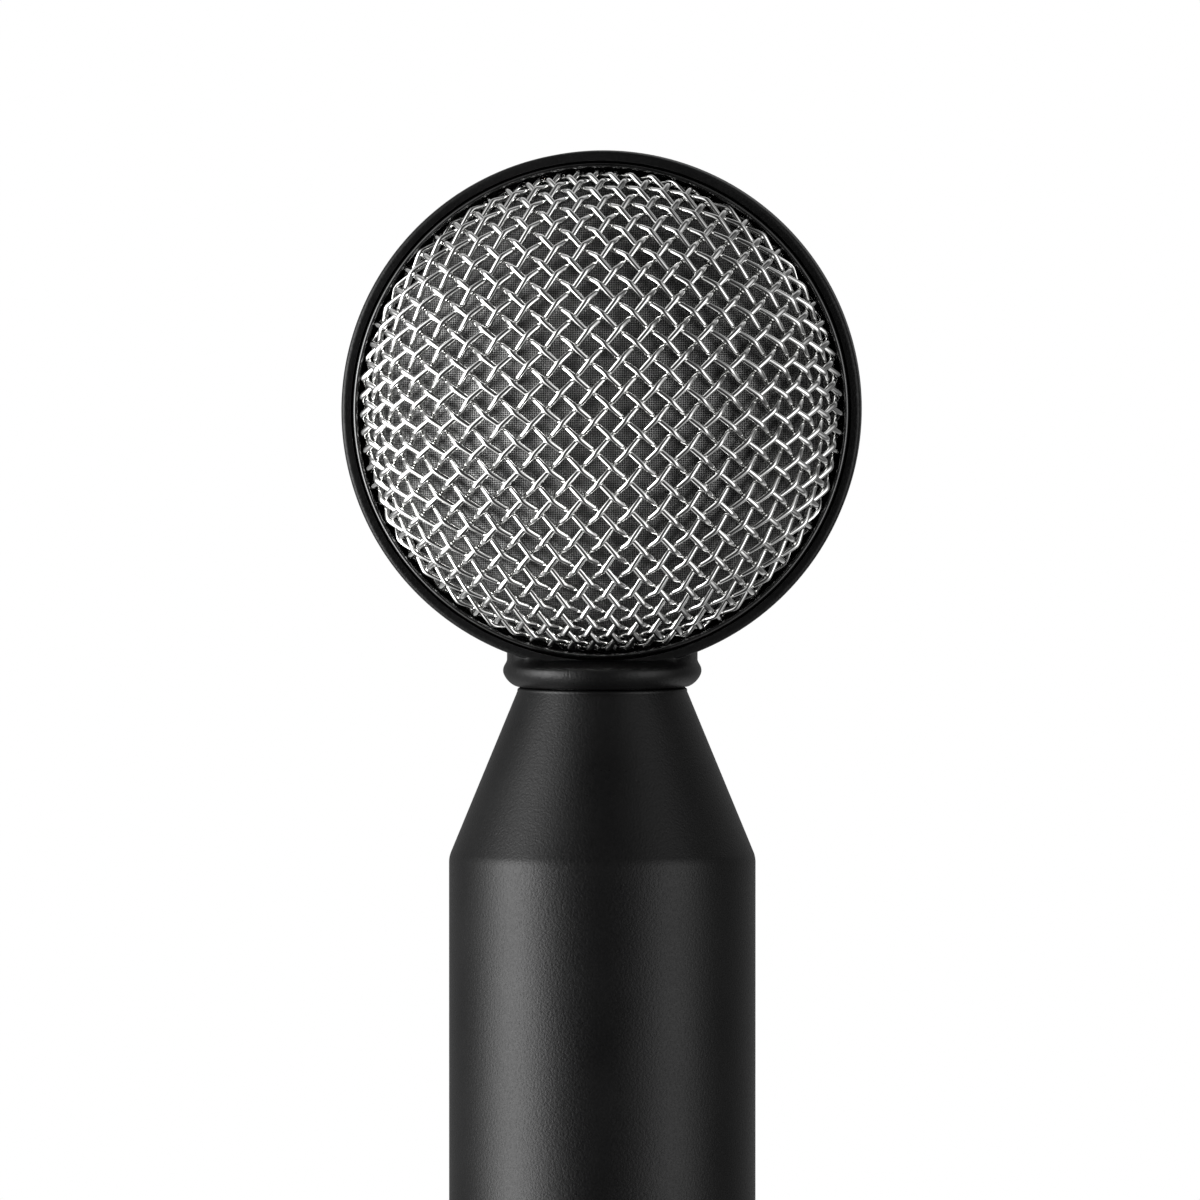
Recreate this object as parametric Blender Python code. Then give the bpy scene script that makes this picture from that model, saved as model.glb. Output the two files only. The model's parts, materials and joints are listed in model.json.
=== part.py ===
"""Side-address double-ribbon microphone with a round, wire-mesh head on a tapered shaft.

+Z runs up the shaft from the connector end to the head. The front of the head faces -Y and +X is to
the right of it. The origin is the centre of the shaft's flat lower end. Dimensions are in millimetres
and MM turns them into Blender's metres. Neighbouring pieces keep GAP between their meshes.
"""

import math

import bmesh
import bpy
from mathutils import Matrix, Vector

MM = 0.001
GAP = 0.3

# Whole microphone
TOTAL_LENGTH = 128.0
HEAD_RADIUS = 19.25
HEAD_Z = TOTAL_LENGTH - HEAD_RADIUS

# Shaft: a straight tube under a cone
SHAFT_RADIUS = 11.4
SHAFT_BORE = 10.2
SHOULDER_Z = 75.5
SHOULDER_ROUND = 2.0
CONE_TOP_RADIUS = 6.32
CONE_TOP_Z = 88.1
CONE_TOP_CHAMFER = 0.15
SHAFT_FOOT_CHAMFER = 0.4
CONNECTOR_BORE = 9.8
CONNECTOR_BORE_DEPTH = 22.0
BORE_TAPER_START_Z = 74.0
BORE_TAPER_END_RADIUS = 7.7
NECK_SHELF_Z = 80.6
NECK_BORE = 5.5
NECK_WASHER_RADIUS = 7.2
NECK_WASHER_THICKNESS = 0.5
NECK_NUT_RADIUS = 7.4
NECK_NUT_HEIGHT = 2.3

# Head frame: a ring around the Y axis on a beaded neck
RING_HALF_DEPTH = 4.0
RING_EDGE_ROUND = 0.25
RECESS_RADIUS = 18.6
LEDGE_HALF_DEPTH = 1.8
LEDGE_BORE = 16.2
LEDGE_FLAT_Z = -15.55
NECK_RADIUS = 7.085
NECK_TOP_Z = 90.0
NECK_CROWN_RADIUS = 4.0
NECK_CROWN_Z = 90.35
WEB_INSET = 0.4
WEB_LOW_Z = 89.9
WEB_HIGH_Z = 91.5
BEAD_RADIUS = 7.38
BEAD_ROUND = 1.1
BEAD_ANGLES = (32, -52)
BEAD_Z = 89.3
BEAD_FOOT_RADIUS = 6.3
BEAD_FOOT_Z = 88.4
SPIGOT_RADIUS = 5.2
SPIGOT_BORE = 3.6
SPIGOT_FOOT_Z = 77.0
SPIGOT_BORE_TOP_Z = 89.0
LEAD_BORE = 1.2

# Grilles, as radii from the centre of the head and heights in front of the ring's middle plane
BEZEL_INNER = 18.05
BEZEL_OUTER = 18.3
BEZEL_FRONT = 4.4
SKIRT_START = LEDGE_HALF_DEPTH + GAP
WIRE_DOME = (18.25, 17.75, 17.6, 17.15)
GAUZE_DOME = (17.2, 16.85, 16.85, 16.5)

# Ribbon motor, measured from the centre of the head
YOKE_OUTER = (9.0, 12.5)
YOKE_WINDOW = (6.5, 9.5)
YOKE_HALF_DEPTH = 3.0
YOKE_CHAMFER = 2.5
YOKE_WINDOW_CHAMFER = 0.1
MAGNET = (3.3, 6.2, 9.2, 2.7)
POLE_TIP_X = 1.3
POLE_TIP_HALF_DEPTH = 1.0
POLE_SHOULDER_X = 2.4
POLE_BACK_X = 3.0
POLE_HALF_LENGTH = 7.0
RIBBON_WIDTH = 1.85
RIBBON_FREE_LENGTH = 14.4
RIBBON_LENGTH = 17.6
RIBBON_SPACING = 0.5
RIBBON_THICKNESS = 0.08
RIBBON_WAVES = 15
RIBBON_WAVE_HEIGHT = 0.1
CLAMP_HALF_WIDTH = 2.8
CLAMP_LOW = 7.4
CLAMP_HIGH = 9.2
CLAMP_FACE = 0.6
CLAMP_BAR_BACK = 1.5
CLAMP_BASE_BACK = 2.6
CLAMP_SCREW_X = 1.95
CLAMP_HOLE_RADIUS = 0.6
SCREEN_HALF_WIDTH = 4.6
SCREEN_HALF_HEIGHT = 7.0
SCREEN_THICKNESS = 0.4
SCREEN_COLUMNS = 3
SCREEN_ROWS = 6
SCREEN_BAR = 0.8
BRACKET_HALF_DEPTH = 2.2
BRACKET_THICKNESS = 0.8
BRACKET_ARM_TOP = -3.5
BRACKET_BEND_Z = -11.5
BRACKET_FLOOR_HALF_WIDTH = 5.2
BRACKET_LEAD_HOLE_RADIUS = 1.5
BRACKET_SCREW_Z = -5.5
MOUNT_SCREW_X = 3.4
MOUNT_HOLE_RADIUS = 0.75
MOUNT_HOLE_DEPTH = 2.4
GROMMET = (0.75, 1.6, 0.6)

# Transformer, measured from the middle of its core
TRANSFORMER_Z = 50.5
CORE_HALF_WIDTH = 6.5
CORE_HALF_DEPTH = 4.0
CORE_HALF_HEIGHT = 9.2
CORE_YOKE = 2.5
CORE_SIDE_LEG = 2.0
CORE_MIDDLE_LEG = 2.0
BOBBIN_WALL = 0.5
BOBBIN_FLANGE = 0.7
COIL_BUILD = 0.8
CAN_RADIUS = 9.0
CAN_WALL = 0.5
CAN_LOW_Z = 37.5
CAN_HIGH_Z = 63.5
CAN_LEAD_HOLE = 2.4
SLEEVE = (9.3, 9.9, 40.0, 60.0)

# Three-pin connector in the foot of the shaft
SHELL_OUTER = 9.5
SHELL_INNER = 8.0
SHELL_COUNTERBORE = 8.9
SHELL_LOW_Z = 0.6
SHELL_SHOULDER_Z = 15.0
SHELL_HIGH_Z = 21.0
KEYWAY_WIDTH = 2.4
KEYWAY_DEPTH = 0.6
LATCH_WIDTH = 4.2
LATCH_LOW_Z = 3.6
LATCH_HIGH_Z = 6.2
INSERT_RADIUS = 8.6
INSERT_LOW_Z = 15.3
INSERT_HIGH_Z = 20.5
PIN_RADIUS = 1.2
PIN_CIRCLE = 4.065
PIN_TIP_Z = 1.6
PIN_TOP_Z = 22.5
PIN_CUP_RADIUS = 0.8
PIN_CUP_DEPTH = 1.5
PIN_NOSE = 0.7
CONNECTOR_SCREW_Z = 18.0
CONNECTOR_HOLE_RADIUS = 1.2

# Slotted screws: the head's radius and height, the shank's radius and length, the slot's width and depth
CLAMP_SCREW = ((0.8, 0.6), (0.3, 3.4), (0.25, 0.3))
MOUNT_SCREW = ((0.95, 0.6), (0.45, 3.2), (0.25, 0.3))
BRACKET_SCREW = ((1.3, 0.6), (0.45, 4.0), (0.3, 0.3))
CONNECTOR_SCREW = ((0.9, 1.3), (0.6, 0.15), (0.3, 0.4))

LEAD_RADIUS = 0.25
LEAD_CLEARANCE = 1.2

# Facets around pieces of different sizes
FINE = 48
MEDIUM = 36
COARSE = 24
SMALL = 16
TINY = 12


def clear_scene():
    for obj in list(bpy.data.objects):
        bpy.data.objects.remove(obj, do_unlink=True)


def surface(name, colour, roughness, metallic):
    made = bpy.data.materials.new(name)
    made.use_nodes = True
    shader = made.node_tree.nodes["Principled BSDF"]
    shader.inputs["Base Color"].default_value = (*colour, 1.0)
    shader.inputs["Roughness"].default_value = roughness
    shader.inputs["Metallic"].default_value = metallic
    return made


def surfaces():
    """Every material of the microphone, by a short name."""
    return {
        "black_paint": surface("black_paint", (0.013, 0.013, 0.014), 0.42, 0.0),
        "black_plate": surface("black_plate", (0.12, 0.12, 0.12), 0.25, 1.0),
        "wire": surface("wire", (0.72, 0.72, 0.71), 0.2, 1.0),
        "gauze": surface("gauze", (0.16, 0.16, 0.16), 0.45, 0.9),
        "iron": surface("iron", (0.42, 0.42, 0.43), 0.35, 1.0),
        "magnet": surface("magnet", (0.3, 0.29, 0.28), 0.45, 1.0),
        "foil": surface("foil", (0.85, 0.86, 0.87), 0.22, 1.0),
        "insulator": surface("insulator", (0.25, 0.12, 0.05), 0.5, 0.0),
        "brass": surface("brass", (0.72, 0.52, 0.22), 0.3, 1.0),
        "steel": surface("steel", (0.55, 0.55, 0.56), 0.3, 1.0),
        "nickel": surface("nickel", (0.62, 0.6, 0.56), 0.2, 1.0),
        "rubber": surface("rubber", (0.02, 0.02, 0.02), 0.8, 0.0),
        "foam": surface("foam", (0.06, 0.06, 0.06), 0.95, 0.0),
        "laminations": surface("laminations", (0.3, 0.31, 0.33), 0.4, 1.0),
        "bobbin": surface("bobbin", (0.5, 0.48, 0.42), 0.5, 0.0),
        "copper": surface("copper", (0.6, 0.26, 0.12), 0.35, 1.0),
        "shield": surface("shield", (0.5, 0.5, 0.5), 0.28, 1.0),
        "insert": surface("insert", (0.015, 0.015, 0.016), 0.5, 0.0),
        "gold": surface("gold", (0.85, 0.66, 0.3), 0.22, 1.0),
        "red_lead": surface("red_lead", (0.45, 0.03, 0.02), 0.5, 0.0),
        "white_lead": surface("white_lead", (0.7, 0.7, 0.66), 0.5, 0.0),
        "black_lead": surface("black_lead", (0.02, 0.02, 0.02), 0.5, 0.0),
    }


def assembly(name, z=0.0):
    """An empty on the shaft's axis that carries one group of pieces."""
    empty = bpy.data.objects.new(name, None)
    empty.location = (0, 0, z * MM)
    bpy.context.scene.collection.objects.link(empty)
    return empty


def place(name, mesh, material, parent, at=(0, 0, 0), turn=(0, 0, 0)):
    """Puts a mesh in the scene as one named piece of an assembly."""
    obj = bpy.data.objects.new(name, mesh)
    bpy.context.scene.collection.objects.link(obj)
    obj.parent = parent
    obj.location = Vector(at) * MM
    obj.rotation_euler = turn
    if material is not None:
        mesh.materials.clear()
        mesh.materials.append(material)
    return obj


def mesh_of(bm, name):
    """Closes up a bmesh that was drawn in millimetres and shades its round faces smooth."""
    bmesh.ops.remove_doubles(bm, verts=bm.verts, dist=1e-4)
    bmesh.ops.dissolve_degenerate(bm, edges=bm.edges, dist=1e-5)
    bmesh.ops.recalc_face_normals(bm, faces=bm.faces)
    bmesh.ops.scale(bm, verts=bm.verts, vec=(MM, MM, MM))
    mesh = bpy.data.meshes.new(name)
    bm.to_mesh(mesh)
    bm.free()
    mesh.shade_smooth()
    mesh.set_sharp_from_angle(angle=math.radians(35))
    return mesh


def turned(name, outline, facets):
    """A closed outline of (radius, height) points, turned about the local Z axis."""
    bm = bmesh.new()
    verts = [bm.verts.new((r, 0, z)) for r, z in outline]
    edges = []
    for i, vert in enumerate(verts):
        following = verts[(i + 1) % len(verts)]
        if vert.co.x > 0 or following.co.x > 0:
            edges.append(bm.edges.new((vert, following)))
    bmesh.ops.spin(
        bm,
        geom=verts + edges,
        cent=(0, 0, 0),
        axis=(0, 0, 1),
        angle=2 * math.pi,
        steps=facets,
        use_merge=True,
    )
    return mesh_of(bm, name)


def extruded(name, outline, low, high, axis="Z"):
    """A flat outline pushed from low to high along an axis. An outline along Y is drawn in X and Z."""
    to_axis = {
        "X": Matrix(((0, 0, 1), (1, 0, 0), (0, 1, 0))),
        "Y": Matrix(((1, 0, 0), (0, 0, 1), (0, 1, 0))),
        "Z": Matrix.Identity(3),
    }[axis]
    bm = bmesh.new()
    face = bm.faces.new([bm.verts.new((u, v, low)) for u, v in outline])
    pushed = bmesh.ops.extrude_face_region(bm, geom=[face])
    moved = [g for g in pushed["geom"] if isinstance(g, bmesh.types.BMVert)]
    bmesh.ops.translate(bm, verts=moved, vec=(0, 0, high - low))
    bmesh.ops.transform(bm, matrix=to_axis.to_4x4(), verts=bm.verts)
    return mesh_of(bm, name)


def swept_around_rectangle(name, half_x, half_y, outline):
    """A closed outline of (outward offset, height) points, carried around an upright rectangle."""
    bm = bmesh.new()
    loops = []
    for sx, sy in ((1, 1), (-1, 1), (-1, -1), (1, -1)):
        loops.append([bm.verts.new((sx * (half_x + d), sy * (half_y + d), z)) for d, z in outline])
    count = len(outline)
    for corner in range(4):
        here, there = loops[corner], loops[(corner + 1) % 4]
        for i in range(count):
            j = (i + 1) % count
            bm.faces.new((here[i], here[j], there[j], there[i]))
    return mesh_of(bm, name)


def block(name, low, high):
    corners = [(low[0], low[1]), (high[0], low[1]), (high[0], high[1]), (low[0], high[1])]
    return extruded(name, corners, low[2], high[2])


def disc_outline(radius, low, high):
    return [(0, low), (radius, low), (radius, high), (0, high)]


def tube_outline(inner, outer, low, high):
    return [(inner, low), (outer, low), (outer, high), (inner, high)]


def arc(centre, radius, start, end, steps):
    """Points on a circle from one angle to another, both included."""
    points = []
    for i in range(steps + 1):
        angle = math.radians(start + (end - start) * i / steps)
        points.append((centre[0] + radius * math.cos(angle), centre[1] + radius * math.sin(angle)))
    return points


def boolean(obj, other, operation):
    """Cuts a piece with a hidden tool object, or joins the tool's shape to it."""
    other.hide_render = True
    other.display_type = "WIRE"
    modifier = obj.modifiers.new(other.name, "BOOLEAN")
    modifier.operation = operation
    modifier.solver = "EXACT"
    modifier.object = other
    return obj


def drill(obj, name, radius, low, high, at=(0, 0), axis="Z", facets=TINY):
    """Drills a round hole along an axis. The hole's place is given in the other two axes."""
    mesh = turned(name, disc_outline(radius, low, high), facets)
    spots = {"X": (0, at[0], at[1]), "Y": (at[0], 0, at[1]), "Z": (at[0], at[1], 0)}
    turns = {"X": (0, math.pi / 2, 0), "Y": (-math.pi / 2, 0, 0), "Z": (0, 0, 0)}
    tool = place(name, mesh, None, obj.parent, spots[axis], turns[axis])
    return boolean(obj, tool, "DIFFERENCE")


def screw(name, material, parent, sizes, at, turn=(0, 0, 0)):
    """A slotted cheese-head screw. Its head's underside is at the local origin and it points down."""
    (head_radius, head_height), (shank_radius, shank_length), (slot_width, slot_depth) = sizes
    outline = [
        (0, -shank_length),
        (shank_radius, -shank_length),
        (shank_radius, 0),
        (head_radius, 0),
        (head_radius, head_height),
        (0, head_height),
    ]
    obj = place(name, turned(name, outline, TINY), material, parent, at, turn)
    tool_mesh = block(
        name + "_slot",
        (-2 * head_radius, -slot_width / 2, head_height - slot_depth),
        (2 * head_radius, slot_width / 2, head_height + 1),
    )
    tool = place(name + "_slot", tool_mesh, None, parent, at, turn)
    return boolean(obj, tool, "DIFFERENCE")


def smooth_route(points, steps):
    """Points on a Catmull-Rom curve through the route's own points."""
    ends = [points[0]] + list(points) + [points[-1]]
    knots = [Vector(p) for p in ends]
    route = []
    for i in range(1, len(knots) - 2):
        a, b, c, d = knots[i - 1 : i + 3]
        for k in range(steps):
            t = k / steps
            route.append(
                0.5
                * (
                    2 * b
                    + (c - a) * t
                    + (2 * a - 5 * b + 4 * c - d) * t**2
                    + (3 * b - 3 * c + d - a) * t**3
                )
            )
    route.append(knots[-2])
    return route


def lead(name, route, material, parent, steps=3):
    """A round insulated wire along a smooth route."""
    curve = bpy.data.curves.new(name, "CURVE")
    curve.dimensions = "3D"
    curve.bevel_depth = LEAD_RADIUS * MM
    curve.bevel_resolution = 1
    curve.resolution_u = 1
    curve.render_resolution_u = 0
    curve.use_fill_caps = True
    points = smooth_route(route, steps)
    spline = curve.splines.new("POLY")
    spline.points.add(len(points) - 1)
    for point, place_at in zip(spline.points, points):
        point.co = (*(place_at * MM), 1)
    curve.materials.append(material)
    obj = bpy.data.objects.new(name, curve)
    bpy.context.scene.collection.objects.link(obj)
    obj.parent = parent
    return obj


# Shaft


def shaft_outline():
    """The tube's wall: down the outside from the cone's top, and back up the bore."""
    slope = math.atan((SHAFT_RADIUS - CONE_TOP_RADIUS) / (CONE_TOP_Z - SHOULDER_Z))
    round_centre = (
        SHAFT_RADIUS - SHOULDER_ROUND,
        SHOULDER_Z - SHOULDER_ROUND * math.tan(slope / 2),
    )
    outer = [
        (CONE_TOP_RADIUS - CONE_TOP_CHAMFER, CONE_TOP_Z),
        (CONE_TOP_RADIUS, CONE_TOP_Z - CONE_TOP_CHAMFER),
    ]
    outer += arc(round_centre, SHOULDER_ROUND, math.degrees(slope), 0, 3)
    outer += [
        (SHAFT_RADIUS, SHAFT_FOOT_CHAMFER),
        (SHAFT_RADIUS - SHAFT_FOOT_CHAMFER, 0),
    ]
    inner = [
        (CONNECTOR_BORE, 0),
        (CONNECTOR_BORE, CONNECTOR_BORE_DEPTH),
        (SHAFT_BORE, CONNECTOR_BORE_DEPTH),
        (SHAFT_BORE, BORE_TAPER_START_Z),
        (BORE_TAPER_END_RADIUS, NECK_SHELF_Z),
        (NECK_BORE, NECK_SHELF_Z),
        (NECK_BORE, CONE_TOP_Z),
    ]
    return outer + inner


def make_shaft(paints, body):
    shaft_mesh = turned("shaft_housing", shaft_outline(), FINE)
    shaft = place("shaft_housing", shaft_mesh, paints["black_paint"], body)
    drill(
        shaft,
        "connector_screw_hole",
        CONNECTOR_HOLE_RADIUS,
        CONNECTOR_BORE - 1,
        SHAFT_RADIUS + 1,
        at=(0, CONNECTOR_SCREW_Z),
        axis="Y",
        facets=SMALL,
    )
    washer_high = NECK_SHELF_Z - GAP
    washer_low = washer_high - NECK_WASHER_THICKNESS
    washer = tube_outline(NECK_BORE, NECK_WASHER_RADIUS, washer_low, washer_high)
    place("neck_washer", turned("neck_washer", washer, COARSE), paints["steel"], body)
    nut_high = washer_low - GAP
    nut_low = nut_high - NECK_NUT_HEIGHT
    hexagon = arc((0, 0), NECK_NUT_RADIUS, 0, 300, 5)
    nut = place("neck_nut", extruded("neck_nut", hexagon, nut_low, nut_high), paints["brass"], body)
    drill(nut, "neck_nut_bore", NECK_BORE, nut_low - 1, nut_high + 1, facets=COARSE)


# Head frame and grilles


def neck_outline():
    """The beaded neck and its spigot, turned about Z, down the outside and back on the axis."""
    bead_centre = (BEAD_RADIUS - BEAD_ROUND, BEAD_Z)
    outline = [(0, NECK_CROWN_Z), (NECK_CROWN_RADIUS, NECK_CROWN_Z), (NECK_RADIUS, NECK_TOP_Z)]
    outline += arc(bead_centre, BEAD_ROUND, *BEAD_ANGLES, 7)
    outline += [
        (BEAD_FOOT_RADIUS, BEAD_FOOT_Z),
        (SPIGOT_RADIUS, BEAD_FOOT_Z),
        (SPIGOT_RADIUS, SPIGOT_FOOT_Z),
        (0, SPIGOT_FOOT_Z),
    ]
    return outline


def rounded_disc_outline(radius, half_depth, rounding):
    inner = radius - rounding
    front = arc((inner, half_depth - rounding), rounding, 90, 0, 2)
    back = arc((inner, rounding - half_depth), rounding, 0, -90, 2)
    return [(0, half_depth)] + front + back + [(0, -half_depth)]


def ledge_bore_outline():
    """A circle with a flat along its bottom, where the motor's bracket sits."""
    half_flat = math.degrees(math.acos(-LEDGE_FLAT_Z / LEDGE_BORE))
    return arc((0, 0), LEDGE_BORE, -90 + half_flat, 270 - half_flat, MEDIUM)


def make_head_frame(paints, head):
    """The ring, its neck and the ledge inside it, joined as one casting and then cut out."""
    disc = rounded_disc_outline(HEAD_RADIUS, RING_HALF_DEPTH, RING_EDGE_ROUND)
    frame = place(
        "head_frame",
        turned("head_frame", disc, FINE),
        paints["black_paint"],
        head,
        turn=(math.pi / 2, 0, 0),
    )
    neck = place("neck_tool", turned("neck_tool", neck_outline(), FINE), None, head, at=(0, 0, -HEAD_Z))
    boolean(frame, neck, "UNION")
    web_half_depth = RING_HALF_DEPTH - WEB_INSET
    web_low, web_high = WEB_LOW_Z - HEAD_Z, WEB_HIGH_Z - HEAD_Z
    web_mesh = block(
        "web_tool",
        (-NECK_RADIUS, -web_half_depth, web_low),
        (NECK_RADIUS, web_half_depth, web_high),
    )
    web = place("web_tool", web_mesh, None, head)
    rim = arc((0, 0), NECK_RADIUS, 0, 360 - 360 / FINE, FINE - 1)
    rim_mesh = extruded("web_rim_tool", rim, web_low - 1, web_high + 1)
    boolean(web, place("web_rim_tool", rim_mesh, None, head), "INTERSECT")
    boolean(frame, web, "UNION")
    for side, turn in (("front", math.pi / 2), ("rear", -math.pi / 2)):
        recess = disc_outline(RECESS_RADIUS, LEDGE_HALF_DEPTH, 2 * RING_HALF_DEPTH)
        name = side + "_recess_tool"
        tool = place(name, turned(name, recess, FINE), None, head, turn=(turn, 0, 0))
        boolean(frame, tool, "DIFFERENCE")
    bore_mesh = extruded("ledge_bore_tool", ledge_bore_outline(), -5, 5, axis="Y")
    boolean(frame, place("ledge_bore_tool", bore_mesh, None, head), "DIFFERENCE")
    bore_foot, bore_top = SPIGOT_FOOT_Z - HEAD_Z, SPIGOT_BORE_TOP_Z - HEAD_Z
    drill(frame, "lead_bore_tool", LEAD_BORE, bore_top - 0.5, LEDGE_FLAT_Z + 1, facets=SMALL)
    drill(frame, "spigot_bore_tool", SPIGOT_BORE, bore_foot - 1, bore_top, facets=COARSE)
    for sign, side in ((-1, "left"), (1, "right")):
        drill(
            frame,
            f"mount_screw_hole_{side}",
            MOUNT_HOLE_RADIUS,
            LEDGE_FLAT_Z - MOUNT_HOLE_DEPTH,
            LEDGE_FLAT_Z + 1,
            at=(sign * MOUNT_SCREW_X, 0),
        )


def dome_outline(outer_ball, outer_skirt, inner_ball, inner_skirt, steps):
    """A ball's cap on a short straight skirt, as the outline of a thin shell open at its rim."""
    outer_angle = math.degrees(math.acos(outer_skirt / outer_ball))
    inner_angle = math.degrees(math.acos(inner_skirt / inner_ball))
    outer = [(outer_skirt, SKIRT_START)] + arc((0, 0), outer_ball, outer_angle, 90, steps)
    inner = arc((0, 0), inner_ball, 90, inner_angle, steps) + [(inner_skirt, SKIRT_START)]
    outer[-1] = (0, outer_ball)
    inner[0] = (0, inner_ball)
    return outer + inner


def bezel_outline():
    """A thin ring with a rounded front lip."""
    half = (BEZEL_OUTER - BEZEL_INNER) / 2
    lip = arc((BEZEL_INNER + half, BEZEL_FRONT - half), half, 0, 180, 4)
    return [(BEZEL_OUTER, SKIRT_START)] + lip + [(BEZEL_INNER, SKIRT_START)]


def make_grilles(paints, head):
    shapes = (
        ("grille_ring", bezel_outline(), FINE, "black_plate"),
        ("wire_grille", dome_outline(*WIRE_DOME, 7), MEDIUM, "wire"),
        ("inner_gauze", dome_outline(*GAUZE_DOME, 5), COARSE, "gauze"),
    )
    for side, turn in (("front", math.pi / 2), ("rear", -math.pi / 2)):
        for word, outline, facets, paint in shapes:
            name = f"{side}_{word}"
            place(name, turned(name, outline, facets), paints[paint], head, turn=(turn, 0, 0))


# Ribbon motor


def chamfered_rectangle(half_width, half_height, chamfer):
    points = []
    for sx, sz in ((1, 1), (-1, 1), (-1, -1), (1, -1)):
        side = (sx * half_width, sz * (half_height - chamfer))
        end = (sx * (half_width - chamfer), sz * half_height)
        points += [side, end] if sx * sz > 0 else [end, side]
    return points


def make_yoke(paints, motor):
    outline = chamfered_rectangle(*YOKE_OUTER, YOKE_CHAMFER)
    mesh = extruded("motor_yoke", outline, -YOKE_HALF_DEPTH, YOKE_HALF_DEPTH, axis="Y")
    yoke = place("motor_yoke", mesh, paints["iron"], motor)
    window = chamfered_rectangle(*YOKE_WINDOW, YOKE_WINDOW_CHAMFER)
    mesh = extruded("yoke_window_tool", window, -YOKE_HALF_DEPTH - 1, YOKE_HALF_DEPTH + 1, axis="Y")
    boolean(yoke, place("yoke_window_tool", mesh, None, motor), "DIFFERENCE")
    for sign, side in ((-1, "left"), (1, "right")):
        low, high = sorted((sign * (YOKE_WINDOW[0] + 0.5), sign * (YOKE_OUTER[0] + 1)))
        spot = (0, BRACKET_SCREW_Z)
        drill(yoke, f"bracket_screw_hole_{side}", MOUNT_HOLE_RADIUS, low, high, at=spot, axis="X")


def make_magnets(paints, motor):
    near, far, half_height, half_depth = MAGNET
    pole = [
        (POLE_BACK_X, -half_depth),
        (POLE_BACK_X, half_depth),
        (POLE_SHOULDER_X, half_depth),
        (POLE_TIP_X, POLE_TIP_HALF_DEPTH),
        (POLE_TIP_X, -POLE_TIP_HALF_DEPTH),
        (POLE_SHOULDER_X, -half_depth),
    ]
    for sign, side in ((-1, "left"), (1, "right")):
        low, high = sorted((sign * near, sign * far))
        name = f"magnet_{side}"
        magnet = block(name, (low, -half_depth, -half_height), (high, half_depth, half_height))
        place(name, magnet, paints["magnet"], motor)
        name = f"pole_piece_{side}"
        outline = [(sign * x, y) for x, y in pole]
        tip = extruded(name, outline, -POLE_HALF_LENGTH, POLE_HALF_LENGTH)
        place(name, tip, paints["iron"], motor)


def ribbon_outline():
    """The foil seen from its edge, in (depth, height): flat ends and a zigzag between them."""
    half_free = RIBBON_FREE_LENGTH / 2
    middle = [(0, -RIBBON_LENGTH / 2), (0, -half_free)]
    for i in range(2 * RIBBON_WAVES):
        height = -half_free + (i + 0.5) * RIBBON_FREE_LENGTH / (2 * RIBBON_WAVES)
        middle.append((RIBBON_WAVE_HEIGHT * (1 if i % 2 else -1), height))
    middle += [(0, half_free), (0, RIBBON_LENGTH / 2)]
    half = RIBBON_THICKNESS / 2
    return [(y + half, z) for y, z in middle] + [(y - half, z) for y, z in reversed(middle)]


def make_ribbons(paints, motor):
    """Two corrugated foils, one behind the other, in the gap between the pole pieces."""
    for sign, side in ((-1, "front"), (1, "rear")):
        name = f"ribbon_{side}"
        mesh = extruded(name, ribbon_outline(), -RIBBON_WIDTH / 2, RIBBON_WIDTH / 2, axis="X")
        place(name, mesh, paints["foil"], motor, at=(0, sign * RIBBON_SPACING / 2, 0))


def make_clamps(paints, motor):
    """At each end of the foils, a brass bar screwed to an insulating base grips them."""
    middle = (CLAMP_LOW + CLAMP_HIGH) / 2
    for sign, end in ((1, "top"), (-1, "bottom")):
        low, high = sorted((sign * CLAMP_LOW, sign * CLAMP_HIGH))
        half = CLAMP_HALF_WIDTH
        name = f"{end}_clamp_base"
        mesh = block(name, (-half, CLAMP_FACE, low), (half, CLAMP_BASE_BACK, high))
        base = place(name, mesh, paints["insulator"], motor)
        name = f"{end}_clamp_bar"
        mesh = block(name, (-half, -CLAMP_BAR_BACK, low), (half, -CLAMP_FACE, high))
        bar = place(name, mesh, paints["brass"], motor)
        for side_sign, side in ((-1, "left"), (1, "right")):
            at = (side_sign * CLAMP_SCREW_X, sign * middle)
            drill(base, f"{end}_base_hole_{side}", CLAMP_HOLE_RADIUS, 0, 2, at=at, axis="Y")
            drill(bar, f"{end}_bar_hole_{side}", CLAMP_HOLE_RADIUS, -2, 0, at=at, axis="Y")
            screw(
                f"{end}_clamp_screw_{side}",
                paints["steel"],
                motor,
                CLAMP_SCREW,
                at=(at[0], -CLAMP_BAR_BACK - GAP, at[1]),
                turn=(math.pi / 2, 0, 0),
            )


def pierced_plate(name, half_width, half_height, thickness, columns, rows, bar):
    """A thin upright plate with a grid of oblong windows, starting at depth zero."""

    def lines(half, count):
        pitch = (2 * half - bar) / count
        spots = []
        for i in range(count):
            spots += [-half + i * pitch, -half + i * pitch + bar]
        return spots + [half - bar, half]

    across = lines(half_width, columns)
    up = lines(half_height, rows)
    bm = bmesh.new()
    grid = [[bm.verts.new((x, 0, z)) for z in up] for x in across]
    for i in range(len(across) - 1):
        for j in range(len(up) - 1):
            if i % 2 and j % 2:
                continue
            bm.faces.new((grid[i][j], grid[i + 1][j], grid[i + 1][j + 1], grid[i][j + 1]))
    pushed = bmesh.ops.extrude_face_region(bm, geom=list(bm.faces))
    moved = [g for g in pushed["geom"] if isinstance(g, bmesh.types.BMVert)]
    bmesh.ops.translate(bm, verts=moved, vec=(0, thickness, 0))
    return mesh_of(bm, name)


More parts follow.
